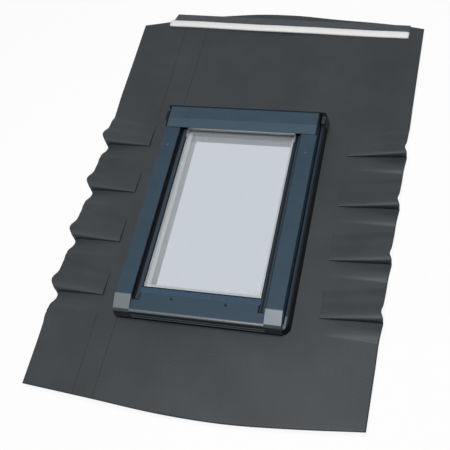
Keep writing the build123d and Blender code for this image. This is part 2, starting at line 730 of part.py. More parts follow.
def stay_bracket():
    """The plate under the front lip that carries the stay's rivet."""
    plate = Pos(stay_x - STAY_PLATE / 4, handle_y) * SlotOverall(STAY_PLATE, HANDLE_PLATE_WIDTH)
    bracket = along_z(plate, front_lip_bottom - STAY_PLATE_THICKNESS, front_lip_bottom)
    under = front_lip_bottom - STAY_PLATE_THICKNESS - CUT
    return bracket - rod(stay_x, handle_y, under, front_lip_bottom, STAY_RIVET)


def stay_arm():
    """The flat stay with its row of peg holes, lying along the sill."""
    bar = Pos(stay_x - stay_length / 2, handle_y) * SlotCenterToCenter(stay_length, STAY_WIDTH)
    arm = along_z(bar, stay_top - STAY_THICKNESS, stay_top)
    arm -= rod(stay_x, handle_y, stay_top - STAY_THICKNESS - CUT, stay_top + CUT, STAY_RIVET + PIN_CLEARANCE)
    for i in range(STAY_HOLES):
        x = stay_x - stay_length + i * STAY_PITCH
        arm -= rod(x, handle_y, stay_top - STAY_THICKNESS - CUT, stay_top + CUT, STAY_HOLE)
    return arm


def stay_rivet():
    """The rivet through the bracket and the stay, with a flat head below."""
    low = stay_top - STAY_THICKNESS - FIT
    head = rod(stay_x, handle_y, low - STAY_HEAD_HEIGHT, low, STAY_HEAD)
    return head + rod(stay_x, handle_y, low, front_lip_bottom, STAY_RIVET)


def stay_peg():
    """The angle on the frame sill with the peg that the stay's holes drop over."""
    x0 = peg_x - PEG_PLATE / 2
    x1 = peg_x + PEG_PLATE / 2
    low = FRAME_SEAT - PEG_DROP
    piece = block(x0, x1, frame_in_front, frame_in_front + KEEPER_SHEET, low, low + PEG_SHELF)
    piece += block(x0, x1, frame_in_front, frame_in_front + PEG_SHELF, low, low + KEEPER_SHEET)
    return piece + rod(peg_x, frame_in_front + PEG_SHELF / 2, low, low + PEG_HEIGHT, PEG)


def bracket(side, end):
    """One steel angle: its leg on the frame's side, its toe on the batten with the fixing hole."""
    y = end * BRACKET_SPACING_Y / 2
    y0 = y - BRACKET_WIDTH / 2
    y1 = y + BRACKET_WIDTH / 2
    hole_x = frame_x + BRACKET_REACH
    toe = outline(
        [(frame_x, y0), (hole_x + BRACKET_TOE, y0), (hole_x + BRACKET_TOE, y1), (frame_x, y1)],
        {1: BRACKET_TOE / 2, 2: BRACKET_TOE / 2})
    piece = along_z(toe, 0, BRACKET_SHEET)
    piece += block(frame_x, frame_x + BRACKET_SHEET, y0, y1, -BRACKET_LEG, BRACKET_SHEET)
    piece -= rod(hole_x, y, -CUT, BRACKET_SHEET + CUT, BRACKET_HOLE)
    for place_x, place_y, place_z in bracket_screw_places():
        if place_x > 0 and place_y * end > 0:
            piece -= rod_x(frame_x - CUT, frame_x + CUT, place_y, place_z, SCREW_SHANK + SCREW_HOLE_GAP)
    return piece if side > 0 else flipped(piece)


def bracket_screw_places():
    """Where the bracket screws' heads sit, on both sides of the frame."""
    places = []
    for side in (-1, 1):
        for end in (-1, 1):
            for step in (-1, 1):
                y = end * BRACKET_SPACING_Y / 2 + step * BRACKET_SCREW_PITCH / 2
                places.append((side * (frame_x + BRACKET_SHEET), y, -BRACKET_SCREW_DROP))
    return places


def cover_screw_places():
    """Where the cover screws' heads sit: two on the bottom plate, one on each side cover."""
    y = front + COVER_SCREW_BACK
    side_x = (cover_in + half_width) / 2
    return [
        (-COVER_SCREW_X, y, plate_top), (COVER_SCREW_X, y, plate_top),
        (-side_x, SIDE_SCREW_Y, COVER_TOP), (side_x, SIDE_SCREW_Y, COVER_TOP)]


def screw(gap):
    """A screw that points down, its seat at the origin. A gap makes it the tool for its hole."""
    head = Pos(0, 0, SCREW_HEAD_HEIGHT / 2) * Cylinder(SCREW_HEAD, SCREW_HEAD_HEIGHT)
    head = chamfer(head.edges().group_by(Axis.Z)[-1], SCREW_HEAD_HEIGHT / 2)
    return head + Pos(0, 0, -SCREW_LENGTH / 2) * Cylinder(SCREW_SHANK + gap, SCREW_LENGTH)


def screw_bodies(places, gap=0.0):
    """A screw at each place: a place beyond the sash's covers points in from the side."""
    solids = []
    for x, y, z in places:
        turn = Rot(0, math.copysign(90, x), 0) if abs(x) > half_width else Rot(0, 0, 0)
        solids.append(Pos(x, y, z) * turn * screw(gap))
    return solids


def screw_group(places):
    """All the screws of one kind as separate solids."""
    return Compound(children=[solid.solid() for solid in screw_bodies(places)])


def pleat_folds(side):
    """The fold lines' places along the slope on one side, from the head down."""
    pitch = PLEAT_RIGHT_PITCH if side > 0 else PLEAT_LEFT_PITCH
    return [PLEAT_LAST_Y + (PLEAT_COUNT - 1 - i) * pitch for i in range(PLEAT_COUNT)]


def pleat_edge(x, fold, side, amount, level, away):
    """One face of the sheet over one pleat, away from its middle line, as a smooth curve."""
    reach = (amount - PLEAT_ROOT_SHARE) / (1 - PLEAT_ROOT_SHARE)
    places = []
    for left_tip, right_tip, root, height in PLEAT_SHARES:
        tip = right_tip if side > 0 else left_tip
        y = fold + (root + (tip - root) * reach) * PLEAT_RUN
        places.append(Vector(x, y, level + amount * height * PLEAT_HEIGHT))
    flow = Vector(0, -1, 0)
    middle = Edge.make_spline(places, tangents=[flow, flow])
    points = []
    for place in places:
        way = middle.tangent_at(middle.param_at_point(place))
        points.append(place + Vector(0, way.Z, -way.Y) * away)
    return Edge.make_spline(points, tangents=[flow, flow])


def skirt_face(x, side, amount, away):
    """One face of a skirt's section from the head down: flats with the pleats between them."""
    level = apron_under + APRON_THICKNESS / 2
    start = Vector(x, apron_head, level + away)
    edges = []
    for fold in pleat_folds(side):
        pleat = pleat_edge(x, fold, side, amount, level, away)
        edges.append(Edge.make_line(start, pleat.position_at(0)))
        edges.append(pleat)
        start = pleat.position_at(1)
    return edges + [Edge.make_line(start, Vector(x, apron_sill, level + away))]


def skirt_section(x, side, amount):
    """The closed section of a side skirt at one place across it."""
    upper = skirt_face(x, side, amount, APRON_THICKNESS / 2)
    lower = skirt_face(x, side, amount, -APRON_THICKNESS / 2)
    head = Edge.make_line(lower[0].position_at(0), upper[0].position_at(0))
    sill = Edge.make_line(upper[-1].position_at(1), lower[-1].position_at(1))
    return Wire(upper + [sill] + lower[::-1] + [head])


def apron_side(top, bottom, side):
    """A side edge of the apron from its head corner to its sill corner, bulging out at each pleat's nose."""
    fall = (top[0] - bottom[0]) / (top[1] - bottom[1])
    line = []
    for y in pleat_folds(side):
        for run_share, bulge_share in RIGHT_EDGE_SHARES if side > 0 else LEFT_EDGE_SHARES:
            place = y + run_share * PLEAT_RUN
            line.append((bottom[0] + (place - bottom[1]) * fall + side * bulge_share * PLEAT_BULGE, place))
    flow = (-fall, -1)
    return Line(top, line[0]) + Spline(*line, tangents=[flow, flow]) + Line(line[-1], bottom)


def apron_plan():
    """The apron's outline seen from above: wavy head and sill edges, and sides that bulge at each pleat."""
    head_width = apron_right + APRON_RIGHT_SPLAY - apron_left
    sill_width = apron_right - apron_left
    head = [(apron_left + u * head_width, apron_head - v * APRON_HEAD_FALL) for u, v in HEAD_EDGE_SHARES]
    sill = [(apron_left + u * sill_width, apron_sill + v * APRON_SILL_FALL) for u, v in SILL_EDGE_SHARES]
    lines = Spline(*head) + apron_side(head[-1], sill[-1], 1)
    return make_face(lines + Spline(*sill) + apron_side(head[0], sill[0], -1))


def upstand(x0, x1, y0, y1):
    """The turned-up edge of the apron against the frame."""
    return block(x0, x1, y0, y1, apron_under, apron_top + UPSTAND)


def apron_skirt(side, plan_solid):
    """One side skirt: flat beside the frame, pleated outside, trimmed to the apron's outline."""
    start = PLEAT_RIGHT_START if side > 0 else PLEAT_LEFT_START
    reach = APRON_RIGHT if side > 0 else APRON_LEFT
    inner = side * frame_x
    fold = side * (frame_x + start)
    spread = reach + APRON_RIGHT_SPLAY - start + PLEAT_BULGE + CUT
    root = skirt_section(fold, side, PLEAT_ROOT_SHARE)
    tip = skirt_section(fold + side * spread, side, 1)
    pleats = Solid.make_loft([root, tip], ruled=True)
    flat = block(min(inner, fold), max(inner, fold), apron_sill, apron_head, apron_under, apron_top)
    edge = inner + side * APRON_THICKNESS
    rise = upstand(min(inner, edge), max(inner, edge), frame_front + CORNER_ROUND, frame_rear)
    return ((flat + pleats) & plan_solid) + rise


def apron_sheets():
    """The four sheets of the apron, joined edge to edge in the lines of the frame's sides."""
    plan_solid = along_z(apron_plan(), apron_under - CUT, apron_top + PLEAT_HEIGHT + CUT)
    head = block(-frame_x, frame_x, frame_rear, apron_head + CUT, apron_under, apron_top) & plan_solid
    head += upstand(-frame_x, frame_x, frame_rear, frame_rear + APRON_THICKNESS)
    sill = block(-frame_x, frame_x, apron_sill - CUT, frame_front, apron_under, apron_top) & plan_solid
    end = frame_x - CORNER_ROUND
    sill += upstand(-end, end, frame_front - APRON_THICKNESS, frame_front)
    return {
        "apron_head_sheet": head,
        "apron_sill_sheet": sill,
        "apron_skirt_left": apron_skirt(-1, plan_solid),
        "apron_skirt_right": apron_skirt(1, plan_solid),
    }


def head_strips():
    """The white foam strip across the head of the apron, and the dark bar up the slope from it."""
    place = Pos(STRIP_X, apron_head - STRIP_FROM_HEAD, apron_top) * Rot(0, 0, STRIP_ANGLE)
    foam = along_x(
        outline([(-FOAM_WIDTH / 2, 0), (-FOAM_WIDTH / 2, FOAM_HEIGHT),
                 (FOAM_WIDTH / 2, FOAM_HEIGHT), (FOAM_WIDTH / 2, 0)],
                {1: FOAM_ROUND, 2: FOAM_ROUND}),
        -STRIP_LENGTH / 2, STRIP_LENGTH / 2)
    back = FOAM_WIDTH / 2 + FIT
    bar = along_z(
        make_face(Polyline(
            (-STRIP_LENGTH / 2 + BAR_SLANT, back), (STRIP_LENGTH / 2, back),
            (STRIP_LENGTH / 2, back + BAR_WIDTH),
            (-STRIP_LENGTH / 2 + 2 * BAR_SLANT, back + BAR_WIDTH), close=True)),
        0, BAR_THICKNESS)
    return {"head_foam_strip": place * foam, "head_bar": place * bar}


def hatch():
    """Every piece of the hatch by its name."""
    nodes = {}
    nodes.update(frame_timbers())
    nodes.update(sash_timbers())
    nodes.update(glass_unit())
    nodes.update(glazing_beads())
    for name, piece in (
        ("side_cover", side_cover()), ("cover_liner", cover_liner()), ("corner_cap", corner_cap()),
        ("hood_end_cap", hood_end_cap()), ("frame_cladding", frame_cladding_side()),
        ("head_corner", head_corner()),
    ):
        nodes[name + "_right"] = piece
        nodes[name + "_left"] = flipped(piece)
    nodes["bottom_cover"] = bottom_cover()
    nodes["hood"] = hood()
    nodes["hood_rear_seal"] = hood_rear_seal()
    nodes["frame_cladding_sill"] = frame_cladding_sill()
    nodes["frame_head_cover"] = head_cover()
    nodes["frame_seal"] = frame_seal()
    for name, side in (("left", -1), ("right", 1)):
        leaves = hinge(side * HINGE_SPACING / 2)
        nodes["hinge_frame_leaf_" + name] = leaves[0]
        nodes["hinge_sash_leaf_" + name] = leaves[1]
        nodes["hinge_pin_" + name] = leaves[2]
        nodes["roof_bracket_upper_" + name] = bracket(side, 1)
        nodes["roof_bracket_lower_" + name] = bracket(side, -1)
    nodes["bracket_screws"] = screw_group(bracket_screw_places())
    nodes["cover_screws"] = screw_group(cover_screw_places())
    nodes["handle_base"] = handle_base()
    nodes["handle_cam"] = handle_cam()
    nodes["handle_lever"] = handle_lever()
    nodes["handle_keeper"] = keeper()
    nodes["stay_bracket"] = stay_bracket()
    nodes["stay_arm"] = stay_arm()
    nodes["stay_rivet"] = stay_rivet()
    nodes["stay_peg"] = stay_peg()
    nodes.update(apron_sheets())
    nodes.update(head_strips())
    return nodes


os.makedirs("parts", exist_ok=True)
for node, shape in hatch().items():
    export_step(shape, os.path.join("parts", node + ".step"))
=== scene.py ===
import math

import bpy
import numpy as np
from mathutils import Matrix, Vector


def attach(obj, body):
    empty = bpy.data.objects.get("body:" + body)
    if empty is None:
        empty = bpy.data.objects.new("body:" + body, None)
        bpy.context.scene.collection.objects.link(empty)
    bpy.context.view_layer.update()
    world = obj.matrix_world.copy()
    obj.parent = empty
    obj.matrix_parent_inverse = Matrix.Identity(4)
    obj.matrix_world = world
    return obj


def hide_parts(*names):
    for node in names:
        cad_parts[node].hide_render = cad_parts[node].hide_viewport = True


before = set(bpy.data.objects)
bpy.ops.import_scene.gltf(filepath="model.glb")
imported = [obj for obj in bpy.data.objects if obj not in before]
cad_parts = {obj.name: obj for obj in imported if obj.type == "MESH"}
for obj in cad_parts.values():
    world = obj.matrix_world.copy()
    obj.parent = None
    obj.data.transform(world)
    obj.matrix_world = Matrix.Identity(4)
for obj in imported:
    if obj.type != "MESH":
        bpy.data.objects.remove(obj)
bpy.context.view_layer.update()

MM = 0.001

# The photograph's camera, in the hatch's own frame
LOOK_AT = Vector((0.02501, -0.06424, 0.066))
TURN, HEIGHT, TILT = (math.radians(a) for a in (27.23, 55.67, -18.21))
DISTANCE = 2.34548
LENS = 69.44
SENSOR = 36.0

# Timber frame that the apron is cut round, and the apron's cut, as in the solids
FRAME_SIDE = 234 * MM
FRAME_FRONT = -332 * MM
FRAME_REAR = 352 * MM
APRON_TOP = 6 * MM
APRON_SHEET = 1.8 * MM
APRON_LEFT = -430 * MM
APRON_RIGHT = 463 * MM
APRON_RIGHT_HEAD = 482 * MM
APRON_HEAD = 788 * MM
APRON_SILL = -592 * MM
HEAD_FALL = 62 * MM
SILL_FALL = 32 * MM
UPSTAND = 11 * MM
HEAD_EDGE = [(0.0, 1.0), (0.14, 0.58), (0.30, 0.20), (0.42, 0.0), (0.55, 0.04), (0.70, 0.30), (0.86, 0.52),
             (0.95, 0.68), (1.0, 0.82)]
SILL_EDGE = [(0.0, 1.0), (0.20, 0.55), (0.45, 0.06), (0.62, 0.02), (0.82, 0.42), (1.0, 0.94)]

# Pleats of the side skirts, from the sill up: place along the run at the left tip, at the right tip and at
# the root, and height
PLEATS = 4
PLEAT_LAST = -283 * MM
PLEAT_PITCH = {-1: 170 * MM, 1: 172 * MM}
PLEAT_ROOT = {-1: 284 * MM, 1: 310 * MM}
PLEAT_TIP = {-1: 468 * MM, 1: 501 * MM}
PLEAT_RUN = 100 * MM
PLEAT_HEIGHT = 27 * MM
PLEAT_ROOT_SHARE = 0.2
PLEAT_LINE = [(-0.56, -0.50, -0.48, 0.0), (-0.47, -0.40, -0.40, 0.14), (-0.34, -0.22, -0.26, 0.20),
              (-0.10, 0.02, -0.04, 0.0), (-0.01, 0.095, -0.016, 0.0), (-0.04, 0.075, -0.010, 0.2),
              (-0.055, 0.065, -0.004, 0.50), (-0.01, 0.09, 0.006, 0.85), (0.13, 0.19, 0.09, 1.0),
              (0.34, 0.36, 0.24, 0.90), (0.60, 0.60, 0.44, 0.50), (0.88, 0.88, 0.62, 0.38),
              (1.12, 1.16, 0.84, 0.0)]
PLEAT_BULGE = 14 * MM
SIDE_EDGE = {-1: [(0.85, -0.15), (0.5, 0.0), (0.18, 0.42), (0.0, -0.3), (-0.13, -1.0), (-0.29, -1.0),
                  (-0.45, -0.2), (-0.57, 0.1)],
             1: [(0.85, 0.0), (0.5, -0.1), (0.28, -0.25), (0.08, 0.25), (-0.1, 0.2), (-0.5, 0.0)]}
# How far below the frame's front the skirts' first row lies at the pleats' tips
SKIRT_FALL = 16 * MM

# Rows and columns of the apron's mesh
PLEAT_ROWS = 64
GAP_ROWS = 4
SILL_ROWS = 40
HEAD_ROWS = 60
FLAT_COLUMNS = 9
SKIRT_COLUMNS = 34
MIDDLE_COLUMNS = 66
STEP = 0.3 * MM
SHARP = math.radians(40)
# Rounds in which a pleat's place and its edge are fitted to each other
FIT_ROUNDS = 3

# Waves left in the membrane by its roll: radians a metre across and up the slope, start and share
WAVES = [(11.0, 5.0, 0.6, 1.0), (6.0, -13.0, 2.1, 0.7), (17.0, 23.0, 0.0, 0.5)]
WAVE_HEIGHT = 1.1 * MM
# How far from the frame the waves start, and how far on they are full
WAVE_CLEAR = 20 * MM
WAVE_EASE = 120 * MM
# The upstand fades out round the frame's front corners
UPSTAND_FOOT = 0.5 * MM
CORNER_CLEAR = 18 * MM
CORNER_EASE = 14 * MM

# Foam strip across the head
STRIP_PLACE = Vector((48 * MM, 720 * MM, APRON_TOP))
STRIP_ANGLE = math.radians(-2.2)
STRIP_LENGTH = 782 * MM
FOAM_WIDTH = 25 * MM
FOAM_HEIGHT = 9 * MM
FOAM_STATIONS = 140
FOAM_PRESS = 0.05
FOAM_DRIFT = 0.6 * MM
# The ends, as shares of the length, are drawn in a little
FOAM_END = 0.492
FOAM_END_RUN = 0.008
FOAM_END_DRAW = 0.12

# Powder coat of the covers: slate, and how much the satin skin shines
SLATE_DARK = "#273a48"
SLATE_PALE = "#2c3f4d"
SATIN = 0.25

# Where finishes meet, and where painted light or shade starts: the bottom cover's nose, the corner caps'
# fronts in painted shade, the painted-shade bands of the cover's front, the hood's bend, with a painted sheen
# below it, and its rear lip, the frame's lip, with painted shade beyond it, its lower corners in a painted
# highlight, its skirt in painted shade, the painted shadow at its foot, the painted light on the gasket under
# the hood, and the painted shade on the sash timber's outer edge, rim and rebate. A finish that runs on past
# such a line runs further than any piece does.
BEYOND = 100 * MM
NOSE_LINE = -336.5 * MM
CAP_FRONT = 54 * MM
PAINTED_SHADE_BANDS = [(36 * MM, 56 * MM), (25 * MM, 31 * MM)]
HOOD_BEND = 289 * MM
HOOD_LIP = 331 * MM
LIP_LINE = 233.5 * MM
LIP_CORNER = -299 * MM
LIP_HEIGHT = 27 * MM
SHADOW_FOOT_LINE = 241 * MM
GASKET_LIGHT_LINE = 240 * MM
SASH_EDGE = 190 * MM
RIM_LINE = 14 * MM
REBATE_LINE = 46 * MM
# Welded seams of the membrane: place across at the middle, lean, and how dark each shows
MEMBRANE_SEAMS = [(-220.5 * MM, 0.0145, 0.7), (-284.5 * MM, 0.0, 0.6)]
SEAM_WIDTH = 1.4 * MM
THREAD = 6 * MM
# Rubber lines along the glazing beads, which on the side beads also stand for painted shade in the gap at
# the cover: across for the side ones, from the middle of the window out, and up the slope for the bottom one
LEFT_RUBBER_AND_SHADE = (172.5 * MM, 179 * MM)
RIGHT_RUBBER_AND_SHADE = (166 * MM, 172 * MM)
BOTTOM_RUBBER = (-268.5 * MM, -260 * MM)

# Studio, in metres and watts, with the share of the floor that is plain white to the eye
FLOOR = -18.6 * MM
FLOOR_SIZE = 14.0
FLOOR_WHITE = 0.92
SKY_FILL = 0.08
LAMP_PLACE = Vector((0.3, -0.5, 3.05))
LAMP_SIZE = 1.3
LAMP_POWER = 86.0


def linear(colour):
    """An sRGB hex colour as linear red, green, blue and alpha."""
    parts = [int(colour[i:i + 2], 16) / 255 for i in (1, 3, 5)]
    return [c / 12.92 if c <= 0.04045 else ((c + 0.055) / 1.055) ** 2.4 for c in parts] + [1.0]


def add(tree, kind, settings=None, links=None):
    """Adds one node, with its own settings and socket values, and the sockets that feed it."""
    node = tree.nodes.new(kind)
    for name, value in (settings or {}).items():
        if name == "ramp":
            while len(node.color_ramp.elements) < len(value):
                node.color_ramp.elements.new(0.5)
            for element, (place, colour) in zip(node.color_ramp.elements, value):
                element.position = place
                element.color = colour
        elif isinstance(name, int) or name in node.inputs:
            node.inputs[name].default_value = value
        else:
            setattr(node, name, value)
    for name, socket in (links or {}).items():
        tree.links.new(socket, node.inputs[name])
    return node


def new_finish(name):
    """An empty material, its nodes and the place on the object in metres."""
    material = bpy.data.materials.new(name)
    material.use_nodes = True
    tree = material.node_tree
    tree.nodes.clear()
    return material, tree, add(tree, "ShaderNodeTexCoord").outputs["Object"]


def grey(level):
    """A plain level, for a shine that varies, or white."""
    return [level, level, level, 1.0]


def powder_coated_aluminium():
    """Rolled aluminium sheet with a baked powder coat: an even slate blue with a soft satin glow along the
    bends, and a faint orange peel. The peel, about 1 mm, is drawn at 4 mm so that it shows."""
    material, tree, place = new_finish("powder_coated_aluminium")
    cloud = add(tree, "ShaderNodeTexNoise", {"Scale": 1 / (70 * MM), "Detail": 3.0}, {"Vector": place})
    peel = add(tree, "ShaderNodeTexNoise", {"Scale": 1 / (4 * MM), "Detail": 2.0}, {"Vector": place})
    tint = add(tree, "ShaderNodeValToRGB", {"ramp": [(0.3, linear(SLATE_DARK)), (0.7, linear(SLATE_PALE))]},
               {"Fac": cloud.outputs["Fac"]})
    gloss = add(tree, "ShaderNodeValToRGB", {"ramp": [(0.3, grey(0.42)), (0.7, grey(0.50))]},
                {"Fac": peel.outputs["Fac"]})
    bump = add(tree, "ShaderNodeBump", {"Strength": 0.06, "Distance": 0.4 * MM},
               {"Height": peel.outputs["Fac"]})
    shader = add(tree, "ShaderNodeBsdfPrincipled", {"Specular IOR Level": SATIN}, {
        "Base Color": tint.outputs["Color"], "Roughness": gloss.outputs["Color"],
        "Normal": bump.outputs["Normal"]})
    add(tree, "ShaderNodeOutputMaterial", links={"Surface": shader.outputs["BSDF"]})
    return material


def band(tree, place, axis, start, end):
    """One between two places along an axis of the object, X on both sides alike, and nothing elsewhere."""
    value = add(tree, "ShaderNodeSeparateXYZ", links={"Vector": place}).outputs[axis]
    if axis == "X":
        value = add(tree, "ShaderNodeMath", {"operation": "ABSOLUTE"}, {0: value}).outputs["Value"]
    middle = add(tree, "ShaderNodeMath", {"operation": "SUBTRACT", 1: (start + end) / 2}, {0: value})
    away = add(tree, "ShaderNodeMath", {"operation": "ABSOLUTE"}, {0: middle.outputs["Value"]})
    return add(tree, "ShaderNodeMath", {"operation": "LESS_THAN", 1: (end - start) / 2},
               {0: away.outputs["Value"]}).outputs["Value"]


def banded(tree, place, axis, start, end, under, colour):
    """A colour, with a flat one laid over it between two places along an axis of the object."""
    return add(tree, "ShaderNodeMix", {"data_type": "RGBA", 7: linear(colour)},
               {"Factor": band(tree, place, axis, start, end), 6: under}).outputs[2]


def hood_powder_coat():
    """Powder-coated aluminium for the hood: a shade paler than the covers, and paler again on the fall below
    the bend as a painted sheen, with the black rubber lip that laps its rear edge."""
    material, tree, place = new_finish("powder_coated_aluminium_with_rubber_lip")
    cloud = add(tree, "ShaderNodeTexNoise", {"Scale": 1 / (70 * MM), "Detail": 3.0}, {"Vector": place})
    slate = add(tree, "ShaderNodeValToRGB",
                {"ramp": [(0.3, linear("#2d404d")), (0.7, linear("#324552"))]}, {"Fac": cloud.outputs["Fac"]})
    # painted sheen: the fall below the bend is paler, where it tilts toward the light
    fall = banded(tree, place, "Y", HOOD_BEND - BEYOND, HOOD_BEND, slate.outputs["Color"], "#394d5a")
    tint = banded(tree, place, "Y", HOOD_LIP, HOOD_LIP + BEYOND, fall, "#08090a")
    shader = add(tree, "ShaderNodeBsdfPrincipled", {"Roughness": 0.46, "Specular IOR Level": SATIN}, {
        "Base Color": tint})
    add(tree, "ShaderNodeOutputMaterial", links={"Surface": shader.outputs["BSDF"]})
    return material


def frame_powder_coat():
    """Powder-coated aluminium for the frame: slate on top of the lip, paler at its lower corners as a painted
    highlight, and charcoal on its edge and the skirt as painted shade, with a black line at the membrane as a
    painted shadow."""
    material, tree, place = new_finish("powder_coated_aluminium_with_painted_shade")
    peel = add(tree, "ShaderNodeTexNoise", {"Scale": 1 / (4 * MM), "Detail": 2.0}, {"Vector": place})
    slate = add(tree, "ShaderNodeValToRGB",
                {"ramp": [(0.3, linear("#26343f")), (0.7, linear("#2c3b48"))]}, {"Fac": peel.outputs["Fac"]})
    # painted highlight: the lip's lower corners are paler, where light glances off the rounding
    painted_corner_highlight = banded(tree, place, "Y", LIP_CORNER - BEYOND, LIP_CORNER, slate.outputs["Color"], "#5f6e7b")
    # painted shade: the skirt below the lip's height is charcoal
    below = banded(tree, place, "Z", LIP_HEIGHT - BEYOND, LIP_HEIGHT, painted_corner_highlight, "#1b1c1e")
    # painted shade: the lip's outer edge is charcoal
    lip = banded(tree, place, "X", LIP_LINE, LIP_LINE + BEYOND, below, "#16171a")
    # painted shadow: a black line where the frame meets the membrane
    tint = banded(tree, place, "X", SHADOW_FOOT_LINE, SHADOW_FOOT_LINE + BEYOND, lip, "#0b0c0d")
    shader = add(tree, "ShaderNodeBsdfPrincipled", {"Roughness": 0.38, "Specular IOR Level": 0.15}, {
        "Base Color": tint})
    add(tree, "ShaderNodeOutputMaterial", links={"Surface": shader.outputs["BSDF"]})
    return material


def grey_abs():
    """Moulded grey ABS for the corners behind the hood: dull, about as dark as the membrane."""
    material, tree, place = new_finish("moulded_grey_abs")
    grain = add(tree, "ShaderNodeTexNoise", {"Scale": 1 / (3 * MM), "Detail": 2.0}, {"Vector": place})
    tint = add(tree, "ShaderNodeValToRGB",
               {"ramp": [(0.3, linear("#2c3033")), (0.7, linear("#34383b"))]}, {"Fac": grain.outputs["Fac"]})
    shader = add(tree, "ShaderNodeBsdfPrincipled", {"Roughness": 0.55, "Specular IOR Level": 0.25}, {
        "Base Color": tint.outputs["Color"]})
    add(tree, "ShaderNodeOutputMaterial", links={"Surface": shader.outputs["BSDF"]})
    return material


def anodised_bead():
    """Extruded aluminium with a clear anodised skin: satin metal that mirrors the glass under it."""
    material, tree, place = new_finish("clear_anodised_aluminium")
    shader = add(tree, "ShaderNodeBsdfPrincipled", {"Roughness": 0.36, "Metallic": 1.0}, {
        "Base Color": drawn_lines(tree, place, "#aaa7a2", "#b8b5b0")})
    add(tree, "ShaderNodeOutputMaterial", links={"Surface": shader.outputs["BSDF"]})
    return material


def drawn_lines(tree, place, dark, pale):
    """A colour in fine lines up the slope, as the die leaves them: about 0.5 mm apart, and drawn 2 mm apart
    so that they show."""
    along = add(tree, "ShaderNodeMapping", {"Scale": (1 / (2 * MM), 1 / (120 * MM), 1 / (2 * MM))},
                {"Vector": place})
    drawn = add(tree, "ShaderNodeTexNoise", {"Scale": 1.0, "Detail": 2.0},
                {"Vector": along.outputs["Vector"]})
    return add(tree, "ShaderNodeValToRGB", {"ramp": [(0.3, linear(dark)), (0.7, linear(pale))]},
               {"Fac": drawn.outputs["Fac"]}).outputs["Color"]


def rubber_and_shade_lined_bead(name, axis, start, end, dark, pale):
    """Dark anodised aluminium with a black rubber line pressed in along it, so that the bead reads as thin
    parallel bands. On the side beads the black line also stands for painted shade in the gap at the cover."""
    material, tree, place = new_finish(name)
    # a black line along the bead: rubber, and on the side beads also painted shade in the gap at the cover
    tint = banded(tree, place, axis, start, end, drawn_lines(tree, place, dark, pale), "#050c13")
    shader = add(tree, "ShaderNodeBsdfPrincipled", {"Roughness": 0.4, "Specular IOR Level": 0.15}, {
        "Base Color": tint})
    add(tree, "ShaderNodeOutputMaterial", links={"Surface": shader.outputs["BSDF"]})
    return material


def painted_abs():
    """Moulded ABS with a silvery lacquer: lighter than the sheet on top, and dark where it turns down in
    front, as painted shade."""
    material, tree, place = new_finish("moulded_abs_silver_lacquer")
    flake = add(tree, "ShaderNodeTexNoise", {"Scale": 1 / (1.5 * MM), "Detail": 2.0}, {"Vector": place})
    silver = add(tree, "ShaderNodeValToRGB", {"ramp": [(0.3, linear("#596167")), (0.7, linear("#646c72"))]},
                 {"Fac": flake.outputs["Fac"]})
    # painted shade: the front below the bend is dark
    tint = banded(tree, place, "Z", CAP_FRONT - BEYOND, CAP_FRONT, silver.outputs["Color"], "#363d3e")
    gloss = add(tree, "ShaderNodeValToRGB", {"ramp": [(0.3, grey(0.44)), (0.7, grey(0.52))]},
                {"Fac": flake.outputs["Fac"]})
    shader = add(tree, "ShaderNodeBsdfPrincipled", {"Metallic": 0.35}, {
        "Base Color": tint, "Roughness": gloss.outputs["Color"]})
    add(tree, "ShaderNodeOutputMaterial", links={"Surface": shader.outputs["BSDF"]})
    return material


def bright_nosed_plate():
    """Folded aluminium for the bottom cover: powder-coated slate on top, and brushed bare along the nose and
    the front, so that the nose catches the sky as a thin bright line. The front is darker in two bands of
    painted shade, which leave two pale lines across it as painted highlights."""
    material, tree, place = new_finish("powder_coated_and_brushed_aluminium")
    bare = band(tree, place, "Y", NOSE_LINE - BEYOND, NOSE_LINE)
    along = add(tree, "ShaderNodeMapping", {"Scale": (1 / (60 * MM), 1 / (1 * MM), 1 / (1 * MM))},
                {"Vector": place})
    brushed = add(tree, "ShaderNodeTexNoise", {"Scale": 1.0, "Detail": 2.0},
                  {"Vector": along.outputs["Vector"]})
    slate = add(tree, "ShaderNodeValToRGB", {"ramp": [(0.3, linear(SLATE_DARK)), (0.7, linear(SLATE_PALE))]},
                {"Fac": brushed.outputs["Fac"]})
    silver = add(tree, "ShaderNodeValToRGB", {"ramp": [(0.3, linear("#848b8f")), (0.7, linear("#949b9f"))]},
                 {"Fac": brushed.outputs["Fac"]})
    front = silver.outputs["Color"]
    # painted shade in two bands across the front; the pale lines left between them are painted highlights
    for low, high in PAINTED_SHADE_BANDS:
        front = banded(tree, place, "Z", low, high, front, "#595f62")
    tint = add(tree, "ShaderNodeMix", {"data_type": "RGBA"},
               {"Factor": bare, 6: slate.outputs["Color"], 7: front})
    gloss = add(tree, "ShaderNodeMapRange", {"To Min": 0.46, "To Max": 0.34}, {"Value": bare})
    shader = add(tree, "ShaderNodeBsdfPrincipled", {"Specular IOR Level": SATIN}, {
        "Base Color": tint.outputs[2], "Metallic": bare, "Roughness": gloss.outputs["Result"]})
    add(tree, "ShaderNodeOutputMaterial", links={"Surface": shader.outputs["BSDF"]})
    return material


def painted_screws():
    """Zinc-plated screws with painted heads: blackened on the bottom cover, slate on the side covers."""
    material, tree, place = new_finish("painted_steel_screws")
    sides = add(tree, "ShaderNodeSeparateXYZ", links={"Vector": place})
    paint = add(tree, "ShaderNodeValToRGB", {"ramp": [(0.0, linear("#0c0e10")), (0.02, linear("#4a5b68"))]},
                {"Fac": sides.outputs["Y"]})
    shader = add(tree, "ShaderNodeBsdfPrincipled", {"Roughness": 0.6, "Specular IOR Level": 0.2}, {
        "Base Color": paint.outputs["Color"]})
    add(tree, "ShaderNodeOutputMaterial", links={"Surface": shader.outputs["BSDF"]})
    return material


